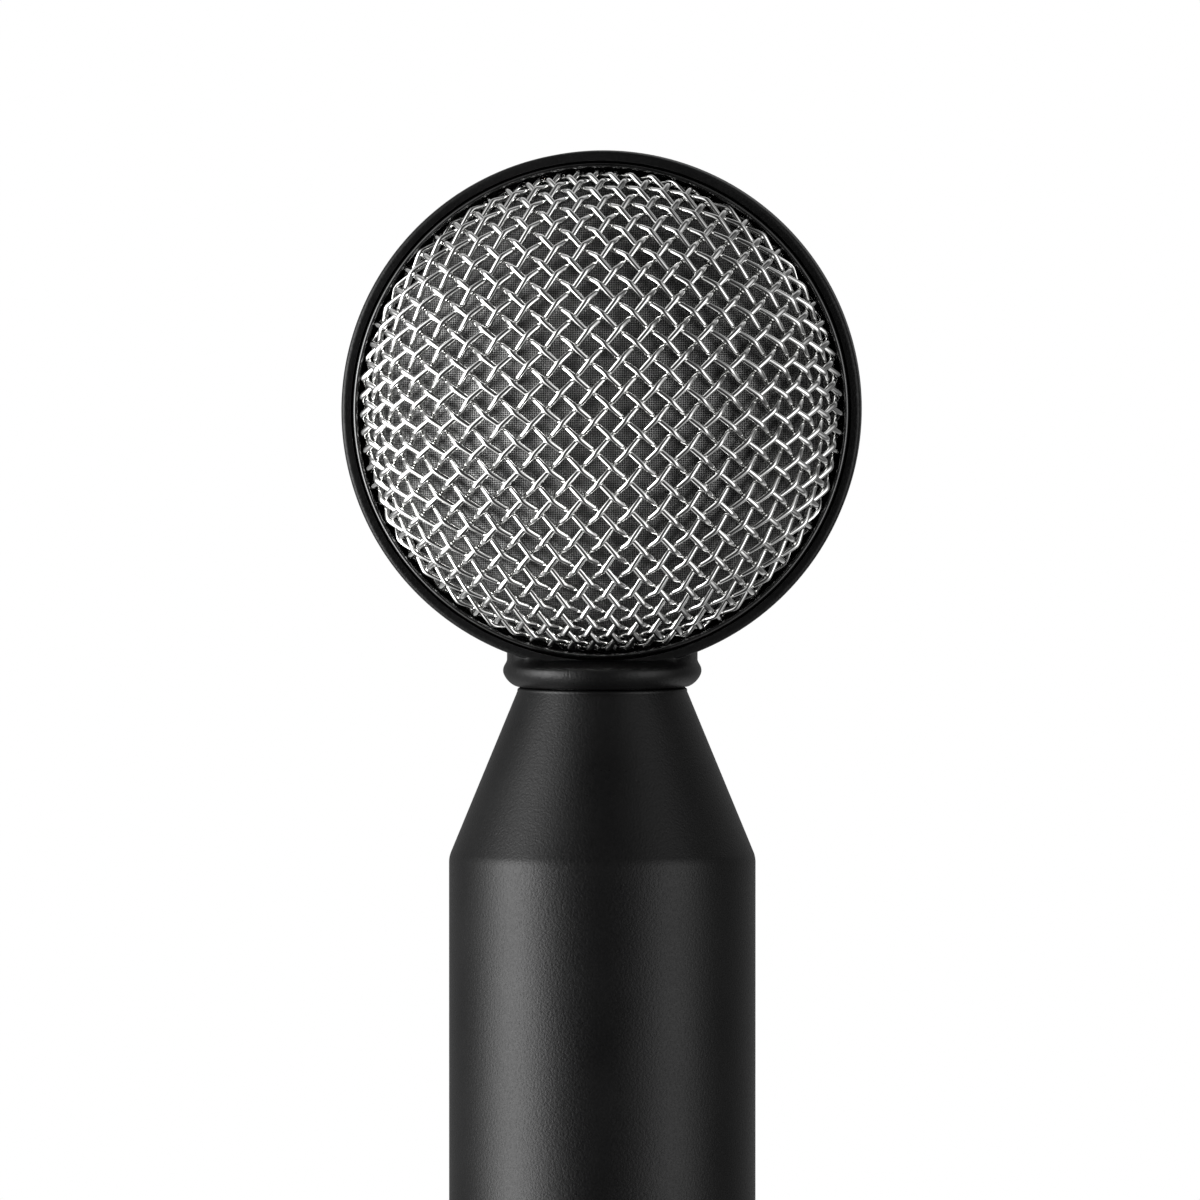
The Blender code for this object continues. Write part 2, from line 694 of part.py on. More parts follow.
def make_screens(paints, motor):
    start = MAGNET[3] + GAP
    for side, depth in (("front", -start - SCREEN_THICKNESS), ("rear", start)):
        name = f"ribbon_screen_{side}"
        mesh = pierced_plate(
            name,
            SCREEN_HALF_WIDTH,
            SCREEN_HALF_HEIGHT,
            SCREEN_THICKNESS,
            SCREEN_COLUMNS,
            SCREEN_ROWS,
            SCREEN_BAR,
        )
        place(name, mesh, paints["steel"], motor, at=(0, depth, 0))


def bracket_outline():
    """A flat strip bent up on both sides of the yoke, seen from the front."""
    thickness = BRACKET_THICKNESS
    inside_x = YOKE_OUTER[0] + GAP
    outside_x = inside_x + thickness
    floor = LEDGE_FLAT_Z + GAP
    slope = math.atan((BRACKET_BEND_Z - floor) / (outside_x - BRACKET_FLOOR_HALF_WIDTH))
    right = [
        (inside_x, BRACKET_ARM_TOP),
        (inside_x, BRACKET_BEND_Z + thickness * math.tan((math.pi / 2 - slope) / 2)),
        (BRACKET_FLOOR_HALF_WIDTH - thickness * math.tan(slope / 2), floor + thickness),
    ]
    outside = [
        (BRACKET_FLOOR_HALF_WIDTH, floor),
        (outside_x, BRACKET_BEND_Z),
        (outside_x, BRACKET_ARM_TOP),
    ]
    left_outside = [(-x, z) for x, z in reversed(outside)]
    left_inside = [(-x, z) for x, z in reversed(right)]
    return right + left_inside + left_outside + outside


def make_bracket(paints, motor):
    half_depth = BRACKET_HALF_DEPTH
    mesh = extruded("motor_bracket", bracket_outline(), -half_depth, half_depth, axis="Y")
    bracket = place("motor_bracket", mesh, paints["steel"], motor)
    floor = LEDGE_FLAT_Z + GAP
    arm_outside = YOKE_OUTER[0] + GAP + BRACKET_THICKNESS
    hole, height = MOUNT_HOLE_RADIUS, BRACKET_SCREW_Z
    drill(bracket, "bracket_lead_hole", BRACKET_LEAD_HOLE_RADIUS, floor - 1, floor + 2, facets=SMALL)
    for sign, side in ((-1, "left"), (1, "right")):
        foot_x = sign * MOUNT_SCREW_X
        drill(bracket, f"bracket_foot_hole_{side}", hole, floor - 1, floor + 2, at=(foot_x, 0))
        low, high = sorted((sign * (arm_outside - 2), sign * (arm_outside + 1)))
        drill(bracket, f"bracket_arm_hole_{side}", hole, low, high, at=(0, height), axis="X")
        screw(
            f"mount_screw_{side}",
            paints["steel"],
            motor,
            MOUNT_SCREW,
            at=(foot_x, 0, floor + BRACKET_THICKNESS + GAP),
        )
        grommet_bore, grommet_radius, grommet_height = GROMMET
        grommet = tube_outline(grommet_bore, grommet_radius, GAP, GAP + grommet_height)
        name = f"bracket_grommet_{side}"
        place(
            name,
            turned(name, grommet, SMALL),
            paints["rubber"],
            motor,
            at=(sign * arm_outside, 0, height),
            turn=(0, sign * math.pi / 2, 0),
        )
        screw(
            f"bracket_screw_{side}",
            paints["steel"],
            motor,
            BRACKET_SCREW,
            at=(sign * (arm_outside + grommet_height + 2 * GAP), 0, height),
            turn=(0, sign * math.pi / 2, 0),
        )


# Transformer


def make_core(paints, transformer):
    """A core of E and I laminations, as two stacks."""
    seam = CORE_HALF_HEIGHT - CORE_YOKE
    window = CORE_HALF_WIDTH - CORE_SIDE_LEG
    foot = CORE_YOKE - CORE_HALF_HEIGHT
    right = [
        (CORE_HALF_WIDTH, -CORE_HALF_HEIGHT),
        (CORE_HALF_WIDTH, seam - GAP),
        (window, seam - GAP),
        (window, foot),
        (CORE_MIDDLE_LEG, foot),
        (CORE_MIDDLE_LEG, seam - GAP),
    ]
    outline = right + [(-x, z) for x, z in reversed(right)]
    mesh = extruded("transformer_core_e", outline, -CORE_HALF_DEPTH, CORE_HALF_DEPTH, axis="Y")
    place("transformer_core_e", mesh, paints["laminations"], transformer)
    mesh = block(
        "transformer_core_i",
        (-CORE_HALF_WIDTH, -CORE_HALF_DEPTH, seam),
        (CORE_HALF_WIDTH, CORE_HALF_DEPTH, CORE_HALF_HEIGHT),
    )
    place("transformer_core_i", mesh, paints["laminations"], transformer)


def make_coils(paints, transformer):
    """A bobbin with three flanges on the middle leg, and a winding in each of its two rooms."""
    low = CORE_YOKE - CORE_HALF_HEIGHT + GAP
    high = CORE_HALF_HEIGHT - CORE_YOKE - 2 * GAP
    reach = CORE_HALF_WIDTH - CORE_SIDE_LEG - CORE_MIDDLE_LEG - 2 * GAP
    middle = (low + high) / 2
    half_flange = BOBBIN_FLANGE / 2
    half_x, half_y = CORE_MIDDLE_LEG + GAP, CORE_HALF_DEPTH + GAP
    outline = [
        (0, low),
        (reach, low),
        (reach, low + BOBBIN_FLANGE),
        (BOBBIN_WALL, low + BOBBIN_FLANGE),
        (BOBBIN_WALL, middle - half_flange),
        (reach, middle - half_flange),
        (reach, middle + half_flange),
        (BOBBIN_WALL, middle + half_flange),
        (BOBBIN_WALL, high - BOBBIN_FLANGE),
        (reach, high - BOBBIN_FLANGE),
        (reach, high),
        (0, high),
    ]
    mesh = swept_around_rectangle("transformer_bobbin", half_x, half_y, outline)
    place("transformer_bobbin", mesh, paints["bobbin"], transformer)
    inner = BOBBIN_WALL + GAP
    rooms = (
        ("secondary_winding", low + BOBBIN_FLANGE, middle - half_flange),
        ("primary_winding", middle + half_flange, high - BOBBIN_FLANGE),
    )
    for name, bottom, top in rooms:
        outline = [
            (inner, bottom + GAP),
            (inner + COIL_BUILD, bottom + GAP),
            (inner + COIL_BUILD, top - GAP),
            (inner, top - GAP),
        ]
        mesh = swept_around_rectangle(name, half_x, half_y, outline)
        place(name, mesh, paints["copper"], transformer)


def make_can(paints, body):
    """The transformer's shielding can, the lid on its foot, and the foam around it."""
    inside = CAN_RADIUS - CAN_WALL
    can = [
        (CAN_LEAD_HOLE, CAN_HIGH_Z),
        (CAN_RADIUS, CAN_HIGH_Z),
        (CAN_RADIUS, CAN_LOW_Z),
        (inside, CAN_LOW_Z),
        (inside, CAN_HIGH_Z - CAN_WALL),
        (CAN_LEAD_HOLE, CAN_HIGH_Z - CAN_WALL),
    ]
    place("transformer_can", turned("transformer_can", can, COARSE), paints["shield"], body)
    lid = tube_outline(CAN_LEAD_HOLE, CAN_RADIUS, CAN_LOW_Z - GAP - CAN_WALL, CAN_LOW_Z - GAP)
    place("transformer_can_lid", turned("transformer_can_lid", lid, COARSE), paints["shield"], body)
    sleeve = tube_outline(*SLEEVE)
    place("transformer_sleeve", turned("transformer_sleeve", sleeve, COARSE), paints["foam"], body)


# Connector


def pin_outline():
    """A round-nosed contact with a solder cup in its upper end."""
    tip = arc((PIN_RADIUS - PIN_NOSE, PIN_TIP_Z + PIN_NOSE), PIN_NOSE, -90, 0, 3)
    return (
        [(0, PIN_TIP_Z)]
        + tip
        + [
            (PIN_RADIUS, PIN_TOP_Z),
            (PIN_CUP_RADIUS, PIN_TOP_Z),
            (PIN_CUP_RADIUS, PIN_TOP_Z - PIN_CUP_DEPTH),
            (0, PIN_TOP_Z - PIN_CUP_DEPTH),
        ]
    )


def make_connector(paints, body):
    shell_outline = [
        (SHELL_OUTER, SHELL_LOW_Z),
        (SHELL_OUTER, SHELL_HIGH_Z),
        (SHELL_COUNTERBORE, SHELL_HIGH_Z),
        (SHELL_COUNTERBORE, SHELL_SHOULDER_Z),
        (SHELL_INNER, SHELL_SHOULDER_Z),
        (SHELL_INNER, SHELL_LOW_Z),
    ]
    mesh = turned("connector_shell", shell_outline, MEDIUM)
    shell = place("connector_shell", mesh, paints["nickel"], body)
    keyway = block(
        "keyway_tool",
        (-KEYWAY_WIDTH / 2, SHELL_INNER - 1, SHELL_LOW_Z - 1),
        (KEYWAY_WIDTH / 2, SHELL_INNER + KEYWAY_DEPTH, SHELL_SHOULDER_Z - 2),
    )
    boolean(shell, place("keyway_tool", keyway, None, body), "DIFFERENCE")
    latch = block(
        "latch_tool",
        (-LATCH_WIDTH / 2, SHELL_INNER - 1, LATCH_LOW_Z),
        (LATCH_WIDTH / 2, SHELL_OUTER + 1, LATCH_HIGH_Z),
    )
    boolean(shell, place("latch_tool", latch, None, body), "DIFFERENCE")
    insert = place(
        "connector_insert",
        turned("connector_insert", disc_outline(INSERT_RADIUS, INSERT_LOW_Z, INSERT_HIGH_Z), COARSE),
        paints["insert"],
        body,
    )
    pin_places = ((-PIN_CIRCLE, 0), (PIN_CIRCLE, 0), (0, -PIN_CIRCLE))
    for number, (x, y) in enumerate(pin_places, start=1):
        drill(
            insert,
            f"pin_hole_{number}",
            PIN_RADIUS + GAP,
            INSERT_LOW_Z - 1,
            INSERT_HIGH_Z + 1,
            at=(x, y),
            facets=SMALL,
        )
        name = f"connector_pin_{number}"
        place(name, turned(name, pin_outline(), SMALL), paints["gold"], body, at=(x, y, 0))
    screw(
        "connector_screw",
        paints["steel"],
        body,
        CONNECTOR_SCREW,
        at=(0, SHELL_OUTER + GAP, CONNECTOR_SCREW_Z),
        turn=(-math.pi / 2, 0, 0),
    )


# Leads


def make_leads(paints, body, head):
    """The ribbons' two leads down to the transformer, and three leads from it to the connector."""
    neck_z = LEDGE_FLAT_Z - 1
    down = TRANSFORMER_Z + CORE_HALF_HEIGHT + LEAD_CLEARANCE - HEAD_Z
    lead(
        "ribbon_lead_top",
        [
            (1.0, 2.95, 8.3),
            (1.6, 3.9, 8.2),
            (4.6, 4.5, 6.4),
            (5.6, 4.5, 0),
            (5.4, 4.5, -7),
            (3.4, 4.3, -11.2),
            (1.2, 2.8, -13.4),
            (0.5, 0.7, -13.9),
            (0.45, 0, neck_z),
            (0.45, 0, neck_z - 4),
            (1.4, 0.3, neck_z - 14),
            (1.3, 0.5, -40),
            (1.2, 0, down),
        ],
        paints["red_lead"],
        head,
    )
    lead(
        "ribbon_lead_bottom",
        [
            (-1.0, 2.95, -8.3),
            (-1.6, 3.9, -8.8),
            (-2.2, 4.3, -11.0),
            (-1.4, 3.0, -13.3),
            (-0.5, 0.7, -13.9),
            (-0.45, 0, neck_z),
            (-0.45, 0, neck_z - 4),
            (-1.4, -0.3, neck_z - 14),
            (-1.3, -0.5, -40),
            (-1.2, 0, down),
        ],
        paints["black_lead"],
        head,
    )
    start_z = TRANSFORMER_Z - CORE_HALF_HEIGHT - GAP - LEAD_RADIUS
    cup_z = PIN_TOP_Z - PIN_CUP_DEPTH + GAP + LEAD_RADIUS
    for name, paint, x, y, start in (
        ("output_lead_cold", "white_lead", PIN_CIRCLE, 0, (1.2, 0.4)),
        ("output_lead_hot", "red_lead", 0, -PIN_CIRCLE, (0, -1.3)),
    ):
        route = [
            (*start, start_z),
            (*start, start_z - 6),
            ((x + start[0]) / 2, (y + start[1]) / 2, 31),
            (x, y, PIN_TOP_Z + 3),
            (x, y, cup_z),
        ]
        lead(name, route, paints[paint], body)
    lug_x = -(SHELL_COUNTERBORE + SHELL_OUTER) / 2
    route = [
        (-PIN_CIRCLE, 0, cup_z),
        (-PIN_CIRCLE, 0, PIN_TOP_Z + 1),
        (-PIN_CIRCLE - 1.2, 0, PIN_TOP_Z + 2.6),
        (lug_x + 0.8, 0, PIN_TOP_Z + 1.6),
        (lug_x, 0, SHELL_HIGH_Z + GAP + 0.1),
    ]
    lead("ground_lead", route, paints["black_lead"], body)


def main():
    clear_scene()
    paints = surfaces()
    body = assembly("body_assembly")
    head = assembly("head_assembly", HEAD_Z)
    motor = assembly("motor_assembly", HEAD_Z)
    transformer = assembly("transformer_assembly", TRANSFORMER_Z)
    make_shaft(paints, body)
    make_head_frame(paints, head)
    make_grilles(paints, head)
    make_yoke(paints, motor)
    make_magnets(paints, motor)
    make_ribbons(paints, motor)
    make_clamps(paints, motor)
    make_screens(paints, motor)
    make_bracket(paints, motor)
    make_core(paints, transformer)
    make_coils(paints, transformer)
    make_can(paints, body)
    make_connector(paints, body)
    make_leads(paints, body, head)


main()
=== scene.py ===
"""Looks of the small double-ribbon microphone with a round, wire-mesh head.

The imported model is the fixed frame: +Z runs up the shaft and the front of the head faces -Y. Lengths
are in millimetres, and MM turns them into Blender's metres.
"""

import json
import math

import bmesh
import bpy
import numpy as np
from mathutils import Matrix, Vector


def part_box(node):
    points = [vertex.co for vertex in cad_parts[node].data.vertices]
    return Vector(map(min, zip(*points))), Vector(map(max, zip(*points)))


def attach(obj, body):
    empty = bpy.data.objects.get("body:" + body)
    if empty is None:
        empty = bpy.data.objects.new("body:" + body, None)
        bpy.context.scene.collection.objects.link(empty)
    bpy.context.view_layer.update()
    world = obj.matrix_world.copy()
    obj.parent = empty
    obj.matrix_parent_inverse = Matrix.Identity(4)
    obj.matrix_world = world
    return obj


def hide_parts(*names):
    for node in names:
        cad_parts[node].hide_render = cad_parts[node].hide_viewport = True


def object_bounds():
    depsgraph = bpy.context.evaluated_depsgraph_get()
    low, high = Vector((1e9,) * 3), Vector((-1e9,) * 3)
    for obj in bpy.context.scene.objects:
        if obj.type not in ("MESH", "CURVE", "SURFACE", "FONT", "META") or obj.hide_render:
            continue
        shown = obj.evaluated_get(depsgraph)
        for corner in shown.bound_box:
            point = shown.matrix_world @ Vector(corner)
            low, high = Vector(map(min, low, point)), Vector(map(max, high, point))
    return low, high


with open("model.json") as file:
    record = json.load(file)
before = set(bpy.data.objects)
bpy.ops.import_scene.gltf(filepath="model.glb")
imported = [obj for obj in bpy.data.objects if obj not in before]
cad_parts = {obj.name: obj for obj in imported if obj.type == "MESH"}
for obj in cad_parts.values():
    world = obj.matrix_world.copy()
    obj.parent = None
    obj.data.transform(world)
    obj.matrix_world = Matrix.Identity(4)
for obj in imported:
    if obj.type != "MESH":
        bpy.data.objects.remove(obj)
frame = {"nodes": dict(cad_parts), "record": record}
CAD_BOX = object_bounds()

MM = 0.001
SHELL_BODY = "microphone"


def extent(node):
    """Lowest and highest corner of a CAD node, in millimetres."""
    low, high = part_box(node)
    return low / MM, high / MM


# Places that the frame gives
HEAD_LOW, HEAD_HIGH = extent("head_frame")
HEAD_RADIUS = HEAD_HIGH.x
HEAD_Z = HEAD_HIGH.z - HEAD_RADIUS
SPIGOT_FOOT_Z = HEAD_LOW.z
SHAFT_HIGH = extent("shaft_housing")[1]
SHAFT_RADIUS = SHAFT_HIGH.x
CONE_TOP_Z = SHAFT_HIGH.z
SHELL_LOW, SHELL_HIGH = extent("connector_shell")
INSERT_LOW, INSERT_HIGH = extent("connector_insert")
SCREW_LOW, SCREW_HIGH = extent("connector_screw")
SCREW_Z = (SCREW_LOW.z + SCREW_HIGH.z) / 2

# How far a cutter reaches past the surface that it opens
OVERSHOOT = 1.0

# Shaft: a tube whose top narrows in a cone. The lip's round runs from upright to CONE_TOP_ROUND_END degrees
SHOULDER_Z = 75.5
SHOULDER_ROUND = 2.0
CONE_TOP_RADIUS = 6.32
CONE_TOP_ROUND = 0.2
CONE_TOP_ROUND_END = -20
FOOT_ROUND = 0.4
SHAFT_BORE = 10.2
SHAFT_BORE_TOP_Z = 74.0
CONNECTOR_BORE = 9.8
CONNECTOR_BORE_TOP_Z = 22.0
NECK_SHELF_RADIUS = 7.7
NECK_SHELF_Z = 80.6
SPIGOT_CLEARANCE = 5.5
SCREW_HOLE_RADIUS = 1.2

# Neck, turned about the shaft's axis. Under its widest place the bead's side would be an ellipse with a
# BEAD_BLUNTNESS of 2 and a cone with 1. A larger BEAD_FULLNESS keeps the bead wide higher up
SPIGOT_RADIUS = 5.2
SPIGOT_BORE = 3.6
SPIGOT_BORE_TOP_Z = 89.0
LEAD_BORE = 1.2
NECK_RADIUS = 7.085
NECK_WALL_Z = 90.2
BEAD_RADIUS = 7.376
BEAD_Z = 89.31
BEAD_FOOT_RADIUS = 6.3
BEAD_FOOT_Z = 88.18
BEAD_BLUNTNESS = 1.55
BEAD_FULLNESS = 1.35
NECK_FOOT_RADIUS = 6.22
NECK_FOOT_Z = CONE_TOP_Z + 0.07

# Shoulder over the bead. In front and behind it flows into the ring's faces: it leaves the bead by
# SHOULDER_RISE upwards and SHOULDER_LEAN inwards, and reaches the crown from CROWN_PULL below. The flow
# sets in between two distances from the ring's middle plane. Laps go into the ring, as does the cap
SHOULDER_START_Z = 89.55
SHOULDER_RISE = 0.38
SHOULDER_LEAN = 0.085
SHOULDER_NARROWING = 0.88
CROWN_Z = 90.32
CROWN_PULL = 0.35
WALL_LAP = 0.35
FACE_LAP = 0.4
FACE_INSET = 0.02
FLOW_START = 2.5
FLOW_END = 4.3
CAP_NARROWING = 0.8
CAP_RISE = 0.4
CAP_TOP_Z = 90.92

# Ring and grilles, as radii from the centre of the head and depths from the ring's middle plane
RING_HALF_DEPTH = 4.0
RING_EDGE_ROUND = 0.34
RECESS_RADIUS = 18.53
RECESS_REACH = 12.0
LEDGE_HALF_DEPTH = 1.8
LEDGE_BORE = 16.2
LEDGE_FLAT_Z = -15.55
MOUNT_SCREW_X = 3.4
MOUNT_HOLE_RADIUS = 0.75
MOUNT_HOLE_DEPTH = 2.4
BEZEL_INNER = 17.99
BEZEL_OUTER = 18.35
BEZEL_FRONT = 4.4
SKIRT_START = 2.1
GAUZE_BALL = (17.24, 16.95)
GAUZE_SKIRT = (16.85, 16.5)
GAUZE_PITCH = 0.165

# Woven wire: a plain weave of crimped wires, draped over a ball of radius WIRE_BALL, which is then widened
# to WIRE_WIDTH and bent down into a skirt. Two wires cross at WEAVE_START, as x and z, and run at
# WEAVE_ANGLES in degrees. WIRE_REACH more lie on each side of them. The crimp would be a cosine with a
# WIRE_BEND near 0, and straight runs with sharp bends with 1. A wire has WIRE_STEPS points from crossing
# to crossing, and STEP_BUNCHING draws them towards its bends
WIRE_RADIUS = 0.24
WIRE_PITCH = 1.59
WIRE_CRIMP = 0.245
WIRE_BEND = 0.95
WIRE_BALL = 17.76
WIRE_WIDTH = 18.03
WIRE_SKIRT = 17.5
WIRE_REACH = 20
WIRE_STEPS = 8
STEP_BUNCHING = 0.55
WIRE_SIDES = 12
WEAVE_START = (0.93, 0.64)
WEAVE_ANGLES = (47.5, -40.5)

# Ribbons
RIBBON_WAVES = 36
RIBBON_WAVE_HEIGHT = 0.09
RIBBON_THICKNESS = 0.02
RIBBON_FLAT = 1.6

# Connector and its retaining screw. The cutters of its notches start NOTCH_START inside the wall's middle
CONNECTOR_INNER = 8.0
CONNECTOR_COUNTERBORE = 8.9
CONNECTOR_SHOULDER_Z = 15.0
CONNECTOR_ROUND = 0.3
KEYWAY_WIDTH = 2.4
KEYWAY_DEPTH = 0.6
KEYWAY_TOP_Z = 13.0
LATCH_WIDTH = 4.2
LATCH_HEIGHTS = (3.6, 6.2)
NOTCH_START = 2.0
PIN_CLEARANCE = 1.5
PIN_NOSE = 0.8
PIN_CUP_RADIUS = 0.8
PIN_CUP_DEPTH = 1.5
SCREW_ROUND = 0.12
SCREW_SHANK_RADIUS = 0.6
SCREW_SHANK_LENGTH = 0.15
SLOT_WIDTH = 0.3
SLOT_DEPTH = 0.4

# Studio. Azimuths and elevations are in degrees, as seen from the head: azimuth 0 is in front of it and 90
# to its right
CAMERA_DISTANCE = 1200.0
CAMERA_AZIMUTH = 1.5
CAMERA_ELEVATION = 1.9
CAMERA_TARGET = (-0.17, 0.0, HEAD_Z - 14.15)
FIELD_WIDTH = 89.2
SENSOR_WIDTH = 36.0
FLOOR_RADIUS = 700.0
FLOOR_FADE_START = 245.0
FLOOR_CLOUDS = 40.0
# Area lights: name, azimuth, elevation, distance, width and height, watts
AREA_LIGHTS = (
    ("key", -68, -8, 700, (420, 760), 4.6),
    ("side", 55, -8, 900, (400, 900), 1.3),
)
# Soft patches of the world's light: azimuth and elevation, spreads both ways in degrees, strength
SOFT_PATCHES = (
    ((-68, -3), (17, 31), 6.2),
    ((56, -3), (17, 34), 1.8),
)
# The world's strength all around, and what a backdrop behind the head adds: level with the head, and high
# above or far below it. The backdrop fades in with a direction's part along Y, and changes with that along Z
WORLD_STRENGTH = 0.02
BACKDROP = (0.2, 0.7)
BACKDROP_Y = (0.0, 0.6)
BACKDROP_Z = (0.3, 0.7)

# Facets around a turned shape
FINE = 256
MEDIUM = 128
COARSE = 64

# Edges that bend by more than this stay sharp, and points nearer than MERGE_DISTANCE become one
SHARP_ANGLE = math.radians(38)
WIRE_SHARP_ANGLE = math.radians(70)
MERGE_DISTANCE = 1e-4

# The values that noise mostly lies between
NOISE_SPAN = (0.3, 0.7)


# Mesh tools


def arc(centre, radius, start, end, steps):
    """Points on a circle from one angle in degrees to another, both included."""
    points = []
    for i in range(steps + 1):
        angle = math.radians(start + (end - start) * i / steps)
        points.append((centre[0] + radius * math.cos(angle), centre[1] + radius * math.sin(angle)))
    return points


def finished_mesh(name, bm):
    """Turns a bmesh drawn in millimetres into a mesh in metres, smooth but for its sharp edges."""
    bmesh.ops.remove_doubles(bm, verts=bm.verts, dist=MERGE_DISTANCE)
    bmesh.ops.recalc_face_normals(bm, faces=bm.faces)
    bmesh.ops.scale(bm, verts=bm.verts, vec=(MM, MM, MM))
    mesh = bpy.data.meshes.new(name)
    bm.to_mesh(mesh)
    bm.free()
    mesh.shade_smooth()
    mesh.set_sharp_from_angle(angle=SHARP_ANGLE)
    return mesh


def turned(name, outline, facets, matrix=None):
    """A closed outline of (radius, height) points, turned about Z and then placed by a matrix.

    The faces are made one by one, because Blender's own spin puts them in a new order each run.
    """
    bm = bmesh.new()
    angles = [2 * math.pi * k / facets for k in range(facets)]
    rings = []
    for r, z in outline:
        if r > 0:
            rings.append([bm.verts.new((r * math.cos(a), r * math.sin(a), z)) for a in angles])
        else:
            rings.append([bm.verts.new((0, 0, z))] * facets)
    for i, ring in enumerate(rings):
        following = rings[(i + 1) % len(rings)]
        if outline[i][0] > 0 or outline[(i + 1) % len(rings)][0] > 0:
            for k in range(facets):
                j = (k + 1) % facets
                corners = dict.fromkeys((ring[k], ring[j], following[j], following[k]))
                bm.faces.new(list(corners))
    if matrix is not None:
        bmesh.ops.transform(bm, matrix=matrix, verts=bm.verts)
    return finished_mesh(name, bm)


def extruded_along_y(name, outline, low, high):
    """An outline of (x, z) points pushed from one depth to another."""
    bm = bmesh.new()
    near = [bm.verts.new((x, low, z)) for x, z in outline]
    far = [bm.verts.new((x, high, z)) for x, z in outline]
    bm.faces.new(near)
    bm.faces.new(far[::-1])
    for i in range(len(outline)):
        j = (i + 1) % len(outline)
        bm.faces.new((near[i], near[j], far[j], far[i]))
    return finished_mesh(name, bm)


def block(name, low, high):
    """A box from its lowest to its highest corner."""
    corners = [(low[0], low[2]), (high[0], low[2]), (high[0], high[2]), (low[0], high[2])]
    return extruded_along_y(name, corners, low[1], high[1])


def cylinder(radius, low, high):
    """The outline of a solid cylinder, for turned()."""
    return [(0, low), (radius, low), (radius, high), (0, high)]


def along(direction, at):
    """A matrix that turns +Z to a direction and moves the origin to a point."""
    turn = Vector((0, 0, 1)).rotation_difference(Vector(direction))
    return Matrix.Translation(Vector(at)) @ turn.to_matrix().to_4x4()


def close_gaps(mesh):
    """Fills the few small facets that a boolean drops where two surfaces almost coincide."""
    bm = bmesh.new()
    bm.from_mesh(mesh)
    bmesh.ops.remove_doubles(bm, verts=bm.verts, dist=MERGE_DISTANCE * MM)
    gaps = [edge for edge in bm.edges if edge.is_boundary]
    if gaps:
        bmesh.ops.holes_fill(bm, edges=gaps, sides=0)
        bmesh.ops.recalc_face_normals(bm, faces=bm.faces)
        bm.to_mesh(mesh)
    bm.free()


def combined(mesh, operations):
    """Applies (operation, mesh) steps to a mesh with exact booleans and returns the result."""
    scene = bpy.context.scene
    obj = bpy.data.objects.new("combined", mesh)
    scene.collection.objects.link(obj)
    tools = []
    for operation, tool_mesh in operations:
        tool = bpy.data.objects.new("tool", tool_mesh)
        scene.collection.objects.link(tool)
        modifier = obj.modifiers.new("boolean", "BOOLEAN")
        modifier.operation = operation
        modifier.solver = "EXACT"
        modifier.object = tool
        tools.append(tool)
    depsgraph = bpy.context.evaluated_depsgraph_get()
    result = bpy.data.meshes.new_from_object(obj.evaluated_get(depsgraph))
    result.name = mesh.name
    for extra in [obj, *tools]:
        bpy.data.objects.remove(extra, do_unlink=True)
    close_gaps(result)
    result.shade_smooth()
    result.set_sharp_from_angle(angle=SHARP_ANGLE)
    return result


def add_piece(name, mesh, slot, nodes, body=SHELL_BODY, even_normals=False):
    """Shows a mesh as one piece that stands for CAD nodes, and gives it its slot's finish."""
    obj = bpy.data.objects.new(name, mesh)
    bpy.context.scene.collection.objects.link(obj)
    mesh.materials.clear()
    mesh.materials.append(finishes[slot])
    if even_normals:
        modifier = obj.modifiers.new("even_normals", "WEIGHTED_NORMAL")
        modifier.keep_sharp = True
    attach(obj, body)
    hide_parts(*nodes)


# Materials


class Nodes:
    """A node tree that short calls add nodes to."""

    def __init__(self, tree):
        self.tree = tree

    def node(self, kind, inputs, **settings):
        """A node with its settings, and its inputs as values or as other nodes' outputs."""
        made = self.tree.nodes.new(kind)
        for key, value in settings.items():
            setattr(made, key, value)
        for key, value in inputs.items():
            if isinstance(value, bpy.types.NodeSocket):
                self.tree.links.new(value, made.inputs[key])
            else:
                made.inputs[key].default_value = value
        return made

    def math(self, operation, a, b=0.0):
        return self.node("ShaderNodeMath", {0: a, 1: b}, operation=operation).outputs[0]

    def remap(self, value, source, target, kind="LINEAR"):
        inputs = {
            "Value": value,
            "From Min": source[0],
            "From Max": source[1],
            "To Min": target[0],
            "To Max": target[1],
        }
        return self.node("ShaderNodeMapRange", inputs, interpolation_type=kind).outputs["Result"]


